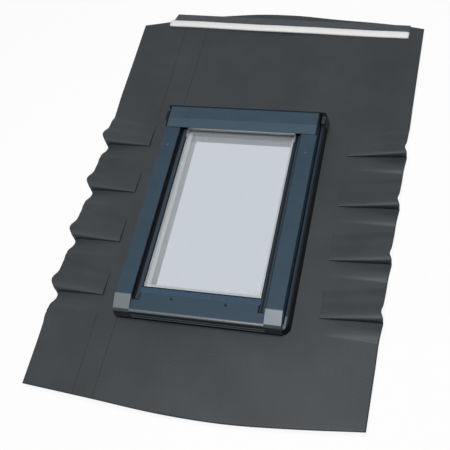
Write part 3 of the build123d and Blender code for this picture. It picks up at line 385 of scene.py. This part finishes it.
def black_polypropylene():
    """Moulded black polypropylene: nearly black, with a fine sparked grain that dulls its shine."""
    material, tree, place = new_finish("moulded_black_polypropylene")
    grain = add(tree, "ShaderNodeTexNoise", {"Scale": 1 / (1.2 * MM), "Detail": 3.0}, {"Vector": place})
    tint = add(tree, "ShaderNodeValToRGB",
               {"ramp": [(0.3, linear("#070809")), (0.7, linear("#0d0e10"))]}, {"Fac": grain.outputs["Fac"]})
    bump = add(tree, "ShaderNodeBump", {"Strength": 0.15, "Distance": 0.2 * MM},
               {"Height": grain.outputs["Fac"]})
    shader = add(tree, "ShaderNodeBsdfPrincipled", {"Roughness": 0.6, "Specular IOR Level": 0.12}, {
        "Base Color": tint.outputs["Color"], "Normal": bump.outputs["Normal"]})
    add(tree, "ShaderNodeOutputMaterial", links={"Surface": shader.outputs["BSDF"]})
    return material


def epdm_rubber():
    """Extruded EPDM rubber: matt black with a dusty bloom along it."""
    material, tree, place = new_finish("extruded_epdm_rubber")
    shader = add(tree, "ShaderNodeBsdfPrincipled", {"Roughness": 0.75, "Specular IOR Level": 0.12}, {
        "Base Color": bloomed(tree, place)})
    add(tree, "ShaderNodeOutputMaterial", links={"Surface": shader.outputs["BSDF"]})
    return material


def bloomed(tree, place):
    """Black with a dusty bloom, in clouds about 9 mm across."""
    bloom = add(tree, "ShaderNodeTexNoise", {"Scale": 1 / (9 * MM), "Detail": 4.0}, {"Vector": place})
    return add(tree, "ShaderNodeValToRGB", {"ramp": [(0.35, linear("#0a0a0b")), (0.8, linear("#191a1b"))]},
               {"Fac": bloom.outputs["Fac"]}).outputs["Color"]


def gasket_with_painted_light():
    """Glazing gasket: matt black along the sides, and grey under the hood, as painted light, where it shows
    as a soft line.
    """
    material, tree, place = new_finish("extruded_black_epdm_with_painted_light")
    # painted light: the black rubber is grey under the hood
    tint = banded(tree, place, "Y", GASKET_LIGHT_LINE, GASKET_LIGHT_LINE + BEYOND, bloomed(tree, place), "#8b8986")
    shader = add(tree, "ShaderNodeBsdfPrincipled", {"Roughness": 0.7, "Specular IOR Level": 0.12}, {
        "Base Color": tint})
    add(tree, "ShaderNodeOutputMaterial", links={"Surface": shader.outputs["BSDF"]})
    return material


def float_glass():
    """Float glass: clear with a cool grey cast, and mirror-smooth, so that it shows the sky and what lies
    below. Light and shadow pass straight through it."""
    material, tree, _ = new_finish("float_glass")
    shader = add(tree, "ShaderNodeBsdfPrincipled", {
        "Base Color": linear("#e1e5e8"), "Roughness": 0.0, "IOR": 1.5, "Transmission Weight": 1.0})
    passing = add(tree, "ShaderNodeBsdfTransparent", {"Color": linear("#f8f9fa")})
    ray = add(tree, "ShaderNodeLightPath")
    light = add(tree, "ShaderNodeMath", {"operation": "MAXIMUM"},
                {0: ray.outputs["Is Shadow Ray"], 1: ray.outputs["Is Diffuse Ray"]})
    pane = add(tree, "ShaderNodeMixShader", links={
        0: light.outputs["Value"], 1: shader.outputs["BSDF"], 2: passing.outputs["BSDF"]})
    add(tree, "ShaderNodeOutputMaterial", links={"Surface": pane.outputs["Shader"]})
    return material


def mill_aluminium():
    """Roll-formed aluminium between the panes: bright and softly brushed, so that it mirrors the light from
    below."""
    material, tree, place = new_finish("roll_formed_mill_aluminium")
    streak = add(tree, "ShaderNodeTexNoise", {"Scale": 1 / (12 * MM), "Detail": 3.0}, {"Vector": place})
    tint = add(tree, "ShaderNodeValToRGB",
               {"ramp": [(0.3, linear("#d6d4d1")), (0.7, linear("#e2e0dd"))]}, {"Fac": streak.outputs["Fac"]})
    gloss = add(tree, "ShaderNodeValToRGB", {"ramp": [(0.3, grey(0.38)), (0.7, grey(0.46))]},
                {"Fac": streak.outputs["Fac"]})
    shader = add(tree, "ShaderNodeBsdfPrincipled", {"Metallic": 1.0}, {
        "Base Color": tint.outputs["Color"], "Roughness": gloss.outputs["Color"]})
    add(tree, "ShaderNodeOutputMaterial", links={"Surface": shader.outputs["BSDF"]})
    return material


def painted_pine():
    """Planed pine under white paint: the grain just lifts the paint in long soft streaks. The rebate that
    takes the glass and the outer edges of the sash are black, as painted shade in the gaps, so that they show
    no pale line."""
    material, tree, place = new_finish("painted_pine")
    along = add(tree, "ShaderNodeMapping", {"Scale": (1 / (6 * MM), 1 / (90 * MM), 1 / (6 * MM))},
                {"Vector": place})
    grain = add(tree, "ShaderNodeTexNoise", {"Scale": 1.0, "Detail": 4.0},
                {"Vector": along.outputs["Vector"]})
    paint = add(tree, "ShaderNodeValToRGB",
                {"ramp": [(0.3, linear("#e4e3df")), (0.7, linear("#eeedea"))]}, {"Fac": grain.outputs["Fac"]})
    # painted shade: black where the sash's outer edge, rim and rebate lie in the gaps
    above = band(tree, place, "Z", RIM_LINE, RIM_LINE + BEYOND)
    edge = add(tree, "ShaderNodeMath", {"operation": "MULTIPLY"},
               {0: band(tree, place, "X", SASH_EDGE, SASH_EDGE + BEYOND), 1: above})
    painted_gap_shade = add(tree, "ShaderNodeMath", {"operation": "MAXIMUM"},
                  {0: edge.outputs["Value"], 1: band(tree, place, "Z", REBATE_LINE, REBATE_LINE + BEYOND)})
    tint = add(tree, "ShaderNodeMix", {"data_type": "RGBA", 7: linear("#0d0d0e")},
               {"Factor": painted_gap_shade.outputs["Value"], 6: paint.outputs["Color"]})
    bump = add(tree, "ShaderNodeBump", {"Strength": 0.12, "Distance": 0.4 * MM},
               {"Height": grain.outputs["Fac"]})
    shader = add(tree, "ShaderNodeBsdfPrincipled", {"Roughness": 0.42}, {
        "Base Color": tint.outputs[2], "Normal": bump.outputs["Normal"]})
    add(tree, "ShaderNodeOutputMaterial", links={"Surface": shader.outputs["BSDF"]})
    return material


def galvanised_steel():
    """Hot-dip galvanised steel: grey zinc with a spangle of pale and dark flakes, about 6 mm across."""
    material, tree, place = new_finish("hot_dip_galvanised_steel")
    spangle = add(tree, "ShaderNodeTexVoronoi", {"Scale": 1 / (6 * MM)}, {"Vector": place})
    tint = add(tree, "ShaderNodeValToRGB", {"ramp": [(0.1, linear("#8d9294")), (0.9, linear("#b4b8b9"))]},
               {"Fac": spangle.outputs["Color"]})
    gloss = add(tree, "ShaderNodeValToRGB", {"ramp": [(0.1, grey(0.34)), (0.9, grey(0.5))]},
                {"Fac": spangle.outputs["Color"]})
    shader = add(tree, "ShaderNodeBsdfPrincipled", {"Metallic": 1.0}, {
        "Base Color": tint.outputs["Color"], "Roughness": gloss.outputs["Color"]})
    add(tree, "ShaderNodeOutputMaterial", links={"Surface": shader.outputs["BSDF"]})
    return material


def white_nylon():
    """Moulded white nylon for the grip: smooth, with a soft shine and a faint warm mottle."""
    material, tree, place = new_finish("moulded_white_nylon")
    cloud = add(tree, "ShaderNodeTexNoise", {"Scale": 1 / (15 * MM), "Detail": 3.0}, {"Vector": place})
    tint = add(tree, "ShaderNodeValToRGB",
               {"ramp": [(0.3, linear("#dddbd6")), (0.7, linear("#e6e5e1"))]}, {"Fac": cloud.outputs["Fac"]})
    shader = add(tree, "ShaderNodeBsdfPrincipled", {"Roughness": 0.3}, {"Base Color": tint.outputs["Color"]})
    add(tree, "ShaderNodeOutputMaterial", links={"Surface": shader.outputs["BSDF"]})
    return material


def woven_membrane():
    """Roofing membrane faced with woven polypropylene: matt slate grey, crossed by a fine diagonal weave,
    with welded seams as thin dark lines up the slope. The threads, about 1.5 mm apart, are drawn 6 mm apart
    so that they show."""
    material, tree, place = new_finish("woven_polypropylene_membrane")
    turns = []
    for angle in (45, -45):
        way = add(tree, "ShaderNodeMapping", {"Rotation": (0, 0, math.radians(angle))}, {"Vector": place})
        turns.append(add(tree, "ShaderNodeTexWave", {
            "Scale": 1 / THREAD * math.pi / 10, "Distortion": 0.6, "Detail": 1.0},
            {"Vector": way.outputs["Vector"]}))
    weave = add(tree, "ShaderNodeMath", {"operation": "MULTIPLY"},
                {0: turns[0].outputs["Fac"], 1: turns[1].outputs["Fac"]})
    cloud = add(tree, "ShaderNodeTexNoise", {"Scale": 1 / (160 * MM), "Detail": 4.0}, {"Vector": place})
    both = add(tree, "ShaderNodeMath", {"operation": "MULTIPLY_ADD", 1: 0.3},
               {0: weave.outputs["Value"], 2: cloud.outputs["Fac"]})
    cloth = add(tree, "ShaderNodeValToRGB", {"ramp": [(0.3, linear("#2d3134")), (1.0, linear("#3d4144"))]},
                {"Fac": both.outputs["Value"]})
    sides = add(tree, "ShaderNodeSeparateXYZ", links={"Vector": place})
    seam = None
    for start, lean, depth in MEMBRANE_SEAMS:
        line = add(tree, "ShaderNodeMath", {"operation": "MULTIPLY_ADD", 1: lean, 2: start},
                   {0: sides.outputs["Y"]})
        off = add(tree, "ShaderNodeMath", {"operation": "SUBTRACT"},
                  {0: sides.outputs["X"], 1: line.outputs["Value"]})
        away = add(tree, "ShaderNodeMath", {"operation": "ABSOLUTE"}, {0: off.outputs["Value"]})
        mark = add(tree, "ShaderNodeMapRange", {
            "From Min": 0.5 * SEAM_WIDTH, "From Max": SEAM_WIDTH, "To Min": depth, "To Max": 0.0},
            {"Value": away.outputs["Value"]}).outputs["Result"]
        seam = mark if seam is None else add(
            tree, "ShaderNodeMath", {"operation": "MAXIMUM"}, {0: seam, 1: mark}).outputs["Value"]
    beside = add(tree, "ShaderNodeMath", {"operation": "SUBTRACT"},
                 {0: seam, 1: band(tree, place, "Y", FRAME_FRONT, FRAME_REAR)})
    shown = add(tree, "ShaderNodeMath", {"operation": "MAXIMUM", 1: 0.0}, {0: beside.outputs["Value"]})
    tint = add(tree, "ShaderNodeMix", {"data_type": "RGBA", 7: linear("#0e1011")},
               {"Factor": shown.outputs["Value"], 6: cloth.outputs["Color"]})
    bump = add(tree, "ShaderNodeBump", {"Strength": 0.25, "Distance": 0.5 * MM},
               {"Height": weave.outputs["Value"]})
    shader = add(tree, "ShaderNodeBsdfPrincipled", {"Roughness": 0.5, "Specular IOR Level": 0.25}, {
        "Base Color": tint.outputs[2], "Normal": bump.outputs["Normal"]})
    add(tree, "ShaderNodeOutputMaterial", links={"Surface": shader.outputs["BSDF"]})
    return material


def polyethylene_foam():
    """Cut polyethylene foam: bright white and matt, with open cells about 2.5 mm across."""
    material, tree, place = new_finish("cut_polyethylene_foam")
    cells = add(tree, "ShaderNodeTexVoronoi", {"Scale": 1 / (2.5 * MM)}, {"Vector": place})
    tint = add(tree, "ShaderNodeValToRGB", {"ramp": [(0.0, linear("#f0f0ef")), (0.6, linear("#fbfbfa"))]},
               {"Fac": cells.outputs["Distance"]})
    bump = add(tree, "ShaderNodeBump", {"Strength": 0.2, "Distance": 0.4 * MM},
               {"Height": cells.outputs["Distance"]})
    shader = add(tree, "ShaderNodeBsdfPrincipled", {"Roughness": 0.8}, {
        "Base Color": tint.outputs["Color"], "Normal": bump.outputs["Normal"]})
    add(tree, "ShaderNodeOutputMaterial", links={"Surface": shader.outputs["BSDF"]})
    return material


def lacquered_steel_strip():
    """Lacquered steel strip: dark slate, smoother and glossier than the membrane under it."""
    material, tree, place = new_finish("lacquered_steel_strip")
    streak = add(tree, "ShaderNodeTexNoise", {"Scale": 1 / (25 * MM), "Detail": 3.0}, {"Vector": place})
    tint = add(tree, "ShaderNodeValToRGB",
               {"ramp": [(0.3, linear("#2c353a")), (0.7, linear("#364046"))]}, {"Fac": streak.outputs["Fac"]})
    shader = add(tree, "ShaderNodeBsdfPrincipled", {"Roughness": 0.35}, {"Base Color": tint.outputs["Color"]})
    add(tree, "ShaderNodeOutputMaterial", links={"Surface": shader.outputs["BSDF"]})
    return material


def smooth_through(points, at, level_ends=False):
    """A smooth line through points, read at places along it."""
    xs, ys = np.array(sorted(points)).T
    slopes = np.gradient(ys, xs)
    if level_ends:
        slopes[[0, -1]] = 0
    i = np.clip(np.searchsorted(xs, at) - 1, 0, len(xs) - 2)
    run = xs[i + 1] - xs[i]
    t = np.clip((at - xs[i]) / run, 0, 1)
    start = ys[i] * (1 + 2 * t) * (1 - t) ** 2 + slopes[i] * run * t * (1 - t) ** 2
    return start + ys[i + 1] * t * t * (3 - 2 * t) + slopes[i + 1] * run * t * t * (t - 1)


def soft_step(t):
    """From nothing to one, with a soft start and end."""
    t = np.clip(t, 0, 1)
    return t * t * (3 - 2 * t)


def pleat_folds(side):
    """The fold lines' places on one side, from the sill up."""
    return [PLEAT_LAST + i * PLEAT_PITCH[side] for i in range(PLEATS)]


def side_edge(side, y):
    """How far out the apron reaches on one side, at a place up the slope."""
    foot = APRON_RIGHT if side > 0 else -APRON_LEFT
    head = APRON_RIGHT_HEAD if side > 0 else -APRON_LEFT
    points = [(APRON_SILL, 0.0), (APRON_HEAD, 0.0)]
    points += [(PLEAT_LAST - PLEAT_RUN, 0.0), (pleat_folds(side)[-1] + 2 * PLEAT_RUN, 0.0)]
    for fold in pleat_folds(side):
        points += [(fold + run * PLEAT_RUN, bulge) for run, bulge in SIDE_EDGE[side]]
    bulge = PLEAT_BULGE * smooth_through(points, y)
    return foot + (head - foot) * (y - APRON_SILL) / (APRON_HEAD - APRON_SILL) + bulge


def pleat_section(side):
    """One pleat from its lower valley up: place at the root, place at the tip, height and share of the height
    kept at the root, for each row. Only the nose keeps any height there."""
    left, right, roots, heights = np.array(PLEAT_LINE).T
    tips = right if side > 0 else left
    along = np.hypot(np.diff(tips) * PLEAT_RUN, np.diff(heights) * PLEAT_HEIGHT)
    along = np.concatenate([[0.0], np.cumsum(along)])
    rows = np.linspace(0, along[-1], PLEAT_ROWS)
    root = smooth_through(list(zip(along, roots)), rows)
    tip = smooth_through(list(zip(along, tips)), rows)
    height = smooth_through(list(zip(along, heights)), rows, level_ends=True)
    kept = PLEAT_ROOT_SHARE * soft_step(root / 0.02 + 2)
    return np.array([root * PLEAT_RUN, tip * PLEAT_RUN, height * PLEAT_HEIGHT, kept]).T


def apron_rows(side):
    """Rows beside the frame from the sill up, as in a pleat's section."""
    rows = [np.array((FRAME_FRONT, FRAME_FRONT - SKIRT_FALL, 0.0, 0.0))]
    for fold in pleat_folds(side):
        pleat = pleat_section(side) + [fold, fold, 0.0, 0.0]
        rows += [rows[-1] + (pleat[0] - rows[-1]) * s for s in np.linspace(0, 1, GAP_ROWS + 2)[1:-1]]
        rows += list(pleat)
    rear = np.array((FRAME_REAR, FRAME_REAR, 0.0, 0.0))
    return rows + [rows[-1] + (rear - rows[-1]) * s for s in np.linspace(0, 1, GAP_ROWS + 2)[1:]]


def pleated(side, x, row):
    """Where a row of the skirt lies at a place across it: place up the slope and height."""
    root, tip, height, kept = row
    reach = (abs(x) - PLEAT_ROOT[side]) / (PLEAT_TIP[side] - PLEAT_ROOT[side])
    return root + (tip - root) * reach, (kept + (1 - kept) * reach) * height


def apron_waves(x, y):
    """The slow rise and fall of a sheet that was rolled up, in metres."""
    waves = [share * np.sin(x * across + y * up + start) for across, up, start, share in WAVES]
    return WAVE_HEIGHT * sum(waves)


def apron_columns():
    """Columns from left to right: side, kind and share of the way out."""
    shares = np.linspace(0, 1, FLAT_COLUMNS)
    skirt = np.linspace(0, 1, SKIRT_COLUMNS)
    left = [(-1, "skirt", s) for s in skirt[::-1]] + [(-1, "flat", s) for s in shares[::-1]]
    middle = [(0, "middle", s) for s in np.linspace(0, 1, MIDDLE_COLUMNS)[1:-1]]
    return left + middle + [(1, "flat", s) for s in shares] + [(1, "skirt", s) for s in skirt]


def column_x(side, kind, share, y):
    """How far across a column lies, at a place up the slope."""
    hole = FRAME_SIDE + APRON_SHEET
    if kind == "middle":
        return hole * (2 * share - 1)
    if kind == "flat":
        return side * (hole + (PLEAT_ROOT[side] - STEP - hole) * share)
    root = PLEAT_ROOT[side] + STEP
    return side * (root + (side_edge(side, y) - root) * share)


def head_y(x):
    """The apron's upper edge, at a place across."""
    share = (x - APRON_LEFT) / (APRON_RIGHT_HEAD - APRON_LEFT)
    return APRON_HEAD - HEAD_FALL * smooth_through(HEAD_EDGE, np.clip(share, 0, 1))


def sill_y(x):
    """The apron's lower edge, at a place across."""
    share = (x - APRON_LEFT) / (APRON_RIGHT - APRON_LEFT)
    return APRON_SILL + SILL_FALL * smooth_through(SILL_EDGE, np.clip(share, 0, 1))


def apron_points():
    """The apron's top face as rows of points, and the number of rows beside the frame."""
    columns = apron_columns()
    rows = {side: apron_rows(side) for side in (-1, 1)}
    rows[0] = rows[-1]
    count = len(rows[-1])
    front = FRAME_FRONT - APRON_SHEET
    rear = FRAME_REAR + APRON_SHEET
    grid = []
    for t in np.linspace(0, 1, SILL_ROWS, endpoint=False):
        line = []
        for side, kind, share in columns:
            x = column_x(side, kind, share, APRON_SILL + (front - APRON_SILL) * t)
            top = front if kind != "skirt" else pleated(side, x, rows[side][0])[0]
            line.append((x, sill_y(x) + (top - sill_y(x)) * t, 0.0))
        grid.append(line)
    for i in range(count):
        line = []
        for side, kind, share in columns:
            y = {0: front, count - 1: rear}.get(i, rows[side][i][0])
            z = 0.0
            x = column_x(side, kind, share, y)
            if kind == "skirt" and i < count - 1:
                for _ in range(FIT_ROUNDS):
                    y, z = pleated(side, x, rows[side][i])
                    x = column_x(side, kind, share, y)
            line.append((x, y, z))
        grid.append(line)
    for t in np.linspace(0, 1, HEAD_ROWS + 1)[1:]:
        line = []
        for side, kind, share in columns:
            x = column_x(side, kind, share, rear + (APRON_HEAD - rear) * t)
            line.append((x, rear + (head_y(x) - rear) * t, 0.0))
        grid.append(line)
    return np.array(grid), count


def membrane_apron():
    """The apron: one sheet cut round the frame, turned up along the hole, with pleated skirts."""
    grid, count = apron_points()
    rows, wide = grid.shape[:2]
    near = np.maximum(np.abs(grid[..., 0]) - FRAME_SIDE, np.maximum(
        FRAME_FRONT - grid[..., 1], grid[..., 1] - FRAME_REAR))
    grid[..., 2] += apron_waves(grid[..., 0], grid[..., 1]) * soft_step((near - WAVE_CLEAR) / WAVE_EASE)
    grid[..., 2] += APRON_TOP
    first = SKIRT_COLUMNS + FLAT_COLUMNS - 1
    last = wide - 1 - first
    low = SILL_ROWS
    high = SILL_ROWS + count - 1
    points = [tuple(p) for p in grid.reshape(-1, 3)]
    faces = []
    for i in range(rows - 1):
        for j in range(wide - 1):
            if not (low <= i < high and first <= j < last):
                a = i * wide + j
                faces.append((a, a + 1, a + wide + 1, a + wide))
    ring = [(low, j) for j in range(first, last)] + [(i, last) for i in range(low, high)]
    ring += [(high, j) for j in range(last, first, -1)] + [(i, first) for i in range(high, low, -1)]
    top = len(points)
    for i, j in ring:
        x, y, z = grid[i, j]
        corner = math.hypot(max(0.0, FRAME_SIDE - abs(x)), y - FRAME_FRONT)
        rise = UPSTAND * float(soft_step((corner - CORNER_CLEAR) / CORNER_EASE))
        points.append((x, y, z + UPSTAND_FOOT + rise))
    for k in range(len(ring)):
        n = (k + 1) % len(ring)
        a = ring[k][0] * wide + ring[k][1]
        b = ring[n][0] * wide + ring[n][1]
        faces.append((b, a, top + k, top + n))
    mesh = bpy.data.meshes.new("membrane_apron")
    mesh.from_pydata(points, [], faces)
    mesh.validate()
    apron = bpy.data.objects.new("membrane_apron", mesh)
    bpy.context.scene.collection.objects.link(apron)
    for polygon in mesh.polygons:
        polygon.use_smooth = True
    mesh.set_sharp_from_angle(angle=SHARP)
    thick = apron.modifiers.new("sheet", "SOLIDIFY")
    thick.thickness = APRON_SHEET
    thick.offset = -1.0
    settle(apron)
    return apron


def settle(piece):
    """Applies a piece's modifiers, so that its mesh is final."""
    bpy.context.view_layer.update()
    seen = piece.evaluated_get(bpy.context.evaluated_depsgraph_get())
    mesh = bpy.data.meshes.new_from_object(seen)
    piece.modifiers.clear()
    piece.data = mesh


def foam_strip():
    """The foam strip: a soft bar with rounded shoulders, pressed a little flatter here and there."""
    shape = [(-0.5, 0.0), (-0.5, 0.45), (-0.46, 0.78), (-0.34, 0.96), (-0.12, 1.0), (0.12, 1.0), (0.34, 0.96),
             (0.46, 0.78), (0.5, 0.45), (0.5, 0.0)]
    stations = np.linspace(-0.5, 0.5, FOAM_STATIONS)
    points = []
    for s in stations:
        along = s * STRIP_LENGTH
        press = 1 - FOAM_PRESS * (1 + math.sin(along * 37.0) * math.sin(along * 11.0 + 1.0))
        drift = FOAM_DRIFT * math.sin(along * 19.0 + 0.4)
        end = 1 - FOAM_END_DRAW * float(soft_step((abs(s) - FOAM_END) / FOAM_END_RUN))
        points += [(along, u * FOAM_WIDTH * end + drift, v * FOAM_HEIGHT * press * end) for u, v in shape]
    n = len(shape)
    faces = []
    for k in range(len(stations) - 1):
        for m in range(n):
            a = k * n + m
            b = k * n + (m + 1) % n
            faces.append((a, a + n, b + n, b))
    faces.append(tuple(range(n)))
    faces.append(tuple(range(len(points) - 1, len(points) - 1 - n, -1)))
    mesh = bpy.data.meshes.new("foam_strip")
    mesh.from_pydata(points, [], faces)
    mesh.transform(Matrix.Translation(STRIP_PLACE) @ Matrix.Rotation(STRIP_ANGLE, 4, "Z"))
    mesh.validate()
    for polygon in mesh.polygons:
        polygon.use_smooth = len(polygon.vertices) == 4
    strip = bpy.data.objects.new("foam_strip", mesh)
    bpy.context.scene.collection.objects.link(strip)
    return strip


def lay_floor():
    """A plain white floor that keeps a soft shadow."""
    half = FLOOR_SIZE / 2
    mesh = bpy.data.meshes.new("studio_floor")
    corners = [(-half, -half, FLOOR), (half, -half, FLOOR), (half, half, FLOOR), (-half, half, FLOOR)]
    mesh.from_pydata(corners, [], [(0, 1, 2, 3)])
    floor = bpy.data.objects.new("studio_floor", mesh)
    bpy.context.scene.collection.objects.link(floor)
    material, tree, _ = new_finish("matt_white_studio_paper")
    lit = add(tree, "ShaderNodeBsdfDiffuse", {"Color": linear("#f2f2f2")})
    glow = add(tree, "ShaderNodeEmission", {"Color": grey(1.0), "Strength": 1.0})
    share = add(tree, "ShaderNodeMath", {"operation": "MULTIPLY", 1: FLOOR_WHITE}, {0: seen_rays(tree)})
    paper = add(tree, "ShaderNodeMixShader", links={
        0: share.outputs["Value"], 1: lit.outputs["BSDF"], 2: glow.outputs["Emission"]})
    add(tree, "ShaderNodeOutputMaterial", links={"Surface": paper.outputs["Shader"]})
    mesh.materials.append(material)


def seen_rays(tree):
    """One for rays from the camera, a mirror or through glass, and nothing for light on the object."""
    ray = add(tree, "ShaderNodeLightPath")
    first = add(tree, "ShaderNodeMath", {"operation": "MAXIMUM"},
                {0: ray.outputs["Is Camera Ray"], 1: ray.outputs["Is Glossy Ray"]})
    seen = add(tree, "ShaderNodeMath", {"operation": "MAXIMUM"},
               {0: first.outputs["Value"], 1: ray.outputs["Is Transmission Ray"]})
    direct = add(tree, "ShaderNodeMath", {"operation": "LESS_THAN", 1: 0.5},
                 {0: ray.outputs["Diffuse Depth"]})
    return add(tree, "ShaderNodeMath", {"operation": "MULTIPLY"},
               {0: seen.outputs["Value"], 1: direct.outputs["Value"]}).outputs["Value"]


def light_studio():
    """A faint sky all round and one soft box overhead, a little to the front and the right."""
    world = bpy.data.worlds.new("studio")
    bpy.context.scene.world = world
    world.use_nodes = True
    tree = world.node_tree
    tree.nodes.clear()
    fill = add(tree, "ShaderNodeBackground", {"Color": linear("#f4f6fa"), "Strength": SKY_FILL})
    white = add(tree, "ShaderNodeBackground", {"Color": grey(1.0), "Strength": 1.0})
    sky = add(tree, "ShaderNodeMixShader", links={
        0: seen_rays(tree), 1: fill.outputs["Background"], 2: white.outputs["Background"]})
    add(tree, "ShaderNodeOutputWorld", links={"Surface": sky.outputs["Shader"]})
    lamp = bpy.data.lights.new("soft_box", "AREA")
    lamp.shape = "DISK"
    lamp.size = LAMP_SIZE
    lamp.energy = LAMP_POWER
    holder = bpy.data.objects.new("soft_box", lamp)
    holder.location = LAMP_PLACE
    holder.rotation_euler = LAMP_PLACE.to_track_quat("Z", "Y").to_euler()
    bpy.context.scene.collection.objects.link(holder)


def aim_camera():
    """The camera at the photograph's place, with its own tilt."""
    level = Vector((math.cos(TURN), math.sin(TURN), 0.0))
    towards = Vector((math.sin(TURN), -math.cos(TURN), 0.0))
    away = math.cos(HEIGHT) * towards + Vector((0.0, 0.0, math.sin(HEIGHT)))
    upright = Vector((0.0, 0.0, math.cos(HEIGHT))) - math.sin(HEIGHT) * towards
    right = math.cos(TILT) * level + math.sin(TILT) * upright
    up = -math.sin(TILT) * level + math.cos(TILT) * upright
    lens = bpy.data.cameras.new("photo_camera")
    lens.lens = LENS
    lens.sensor_width = SENSOR
    camera = bpy.data.objects.new("photo_camera", lens)
    bpy.context.scene.collection.objects.link(camera)
    turned = Matrix((right, up, away)).transposed().to_4x4()
    camera.matrix_world = Matrix.Translation(LOOK_AT + DISTANCE * away) @ turned
    bpy.context.scene.camera = camera


def dress_nodes():
    """Gives every solid the finish of its slot, and some of them a finish of their own."""
    finishes = {
        "painted_timber": painted_pine(),
        "cladding": powder_coated_aluminium(),
        "corner_plastic": painted_abs(),
        "black_plastic": black_polypropylene(),
        "black_rubber": epdm_rubber(),
        "glass": float_glass(),
        "spacer_aluminium": mill_aluminium(),
        "galvanised_steel": galvanised_steel(),
        "handle_plastic": white_nylon(),
        "membrane": woven_membrane(),
        "white_foam": polyethylene_foam()}
    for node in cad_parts.values():
        for place in node.material_slots:
            slot = place.material.name.split(".")[0]
            place.material = finishes[slot]
    edges = frame_powder_coat()
    corners = grey_abs()
    others = {
        "head_bar": lacquered_steel_strip(),
        "bottom_cover": bright_nosed_plate(),
        "cover_screws": painted_screws(),
        # the three beads are one anodised aluminium; their tones differ as painted shade and light: darker at
        # the sides, lighter at the bottom
        "glazing_bead_left": rubber_and_shade_lined_bead(
            "rubber_and_shade_lined_left_bead", "X", *LEFT_RUBBER_AND_SHADE, "#2b3a46", "#344451"),
        "glazing_bead_right": rubber_and_shade_lined_bead(
            "rubber_and_shade_lined_right_bead", "X", *RIGHT_RUBBER_AND_SHADE, "#263540", "#2e3e4a"),
        "glazing_bead_bottom": rubber_and_shade_lined_bead(
            "rubber_lined_bottom_bead", "Y", *BOTTOM_RUBBER, "#33475a", "#3d5265"),
        "glazing_bead_top": anodised_bead(),
        "glazing_gasket": gasket_with_painted_light(),
        "hood": hood_powder_coat(),
        "frame_cladding_left": edges,
        "frame_cladding_right": edges,
        "frame_cladding_sill": edges,
        "head_corner_left": corners,
        "head_corner_right": corners}
    for name, finish in others.items():
        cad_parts[name].material_slots[0].material = finish
    return finishes


aim_camera()
finishes = dress_nodes()

apron = membrane_apron()
apron.data.materials.append(finishes["membrane"])
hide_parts("apron_head_sheet", "apron_sill_sheet", "apron_skirt_left", "apron_skirt_right")
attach(apron, "frame")

strip = foam_strip()
strip.data.materials.append(finishes["white_foam"])
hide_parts("head_foam_strip")
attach(strip, "frame")

lay_floor()
light_studio()
bpy.context.scene.view_settings.view_transform = "Standard"
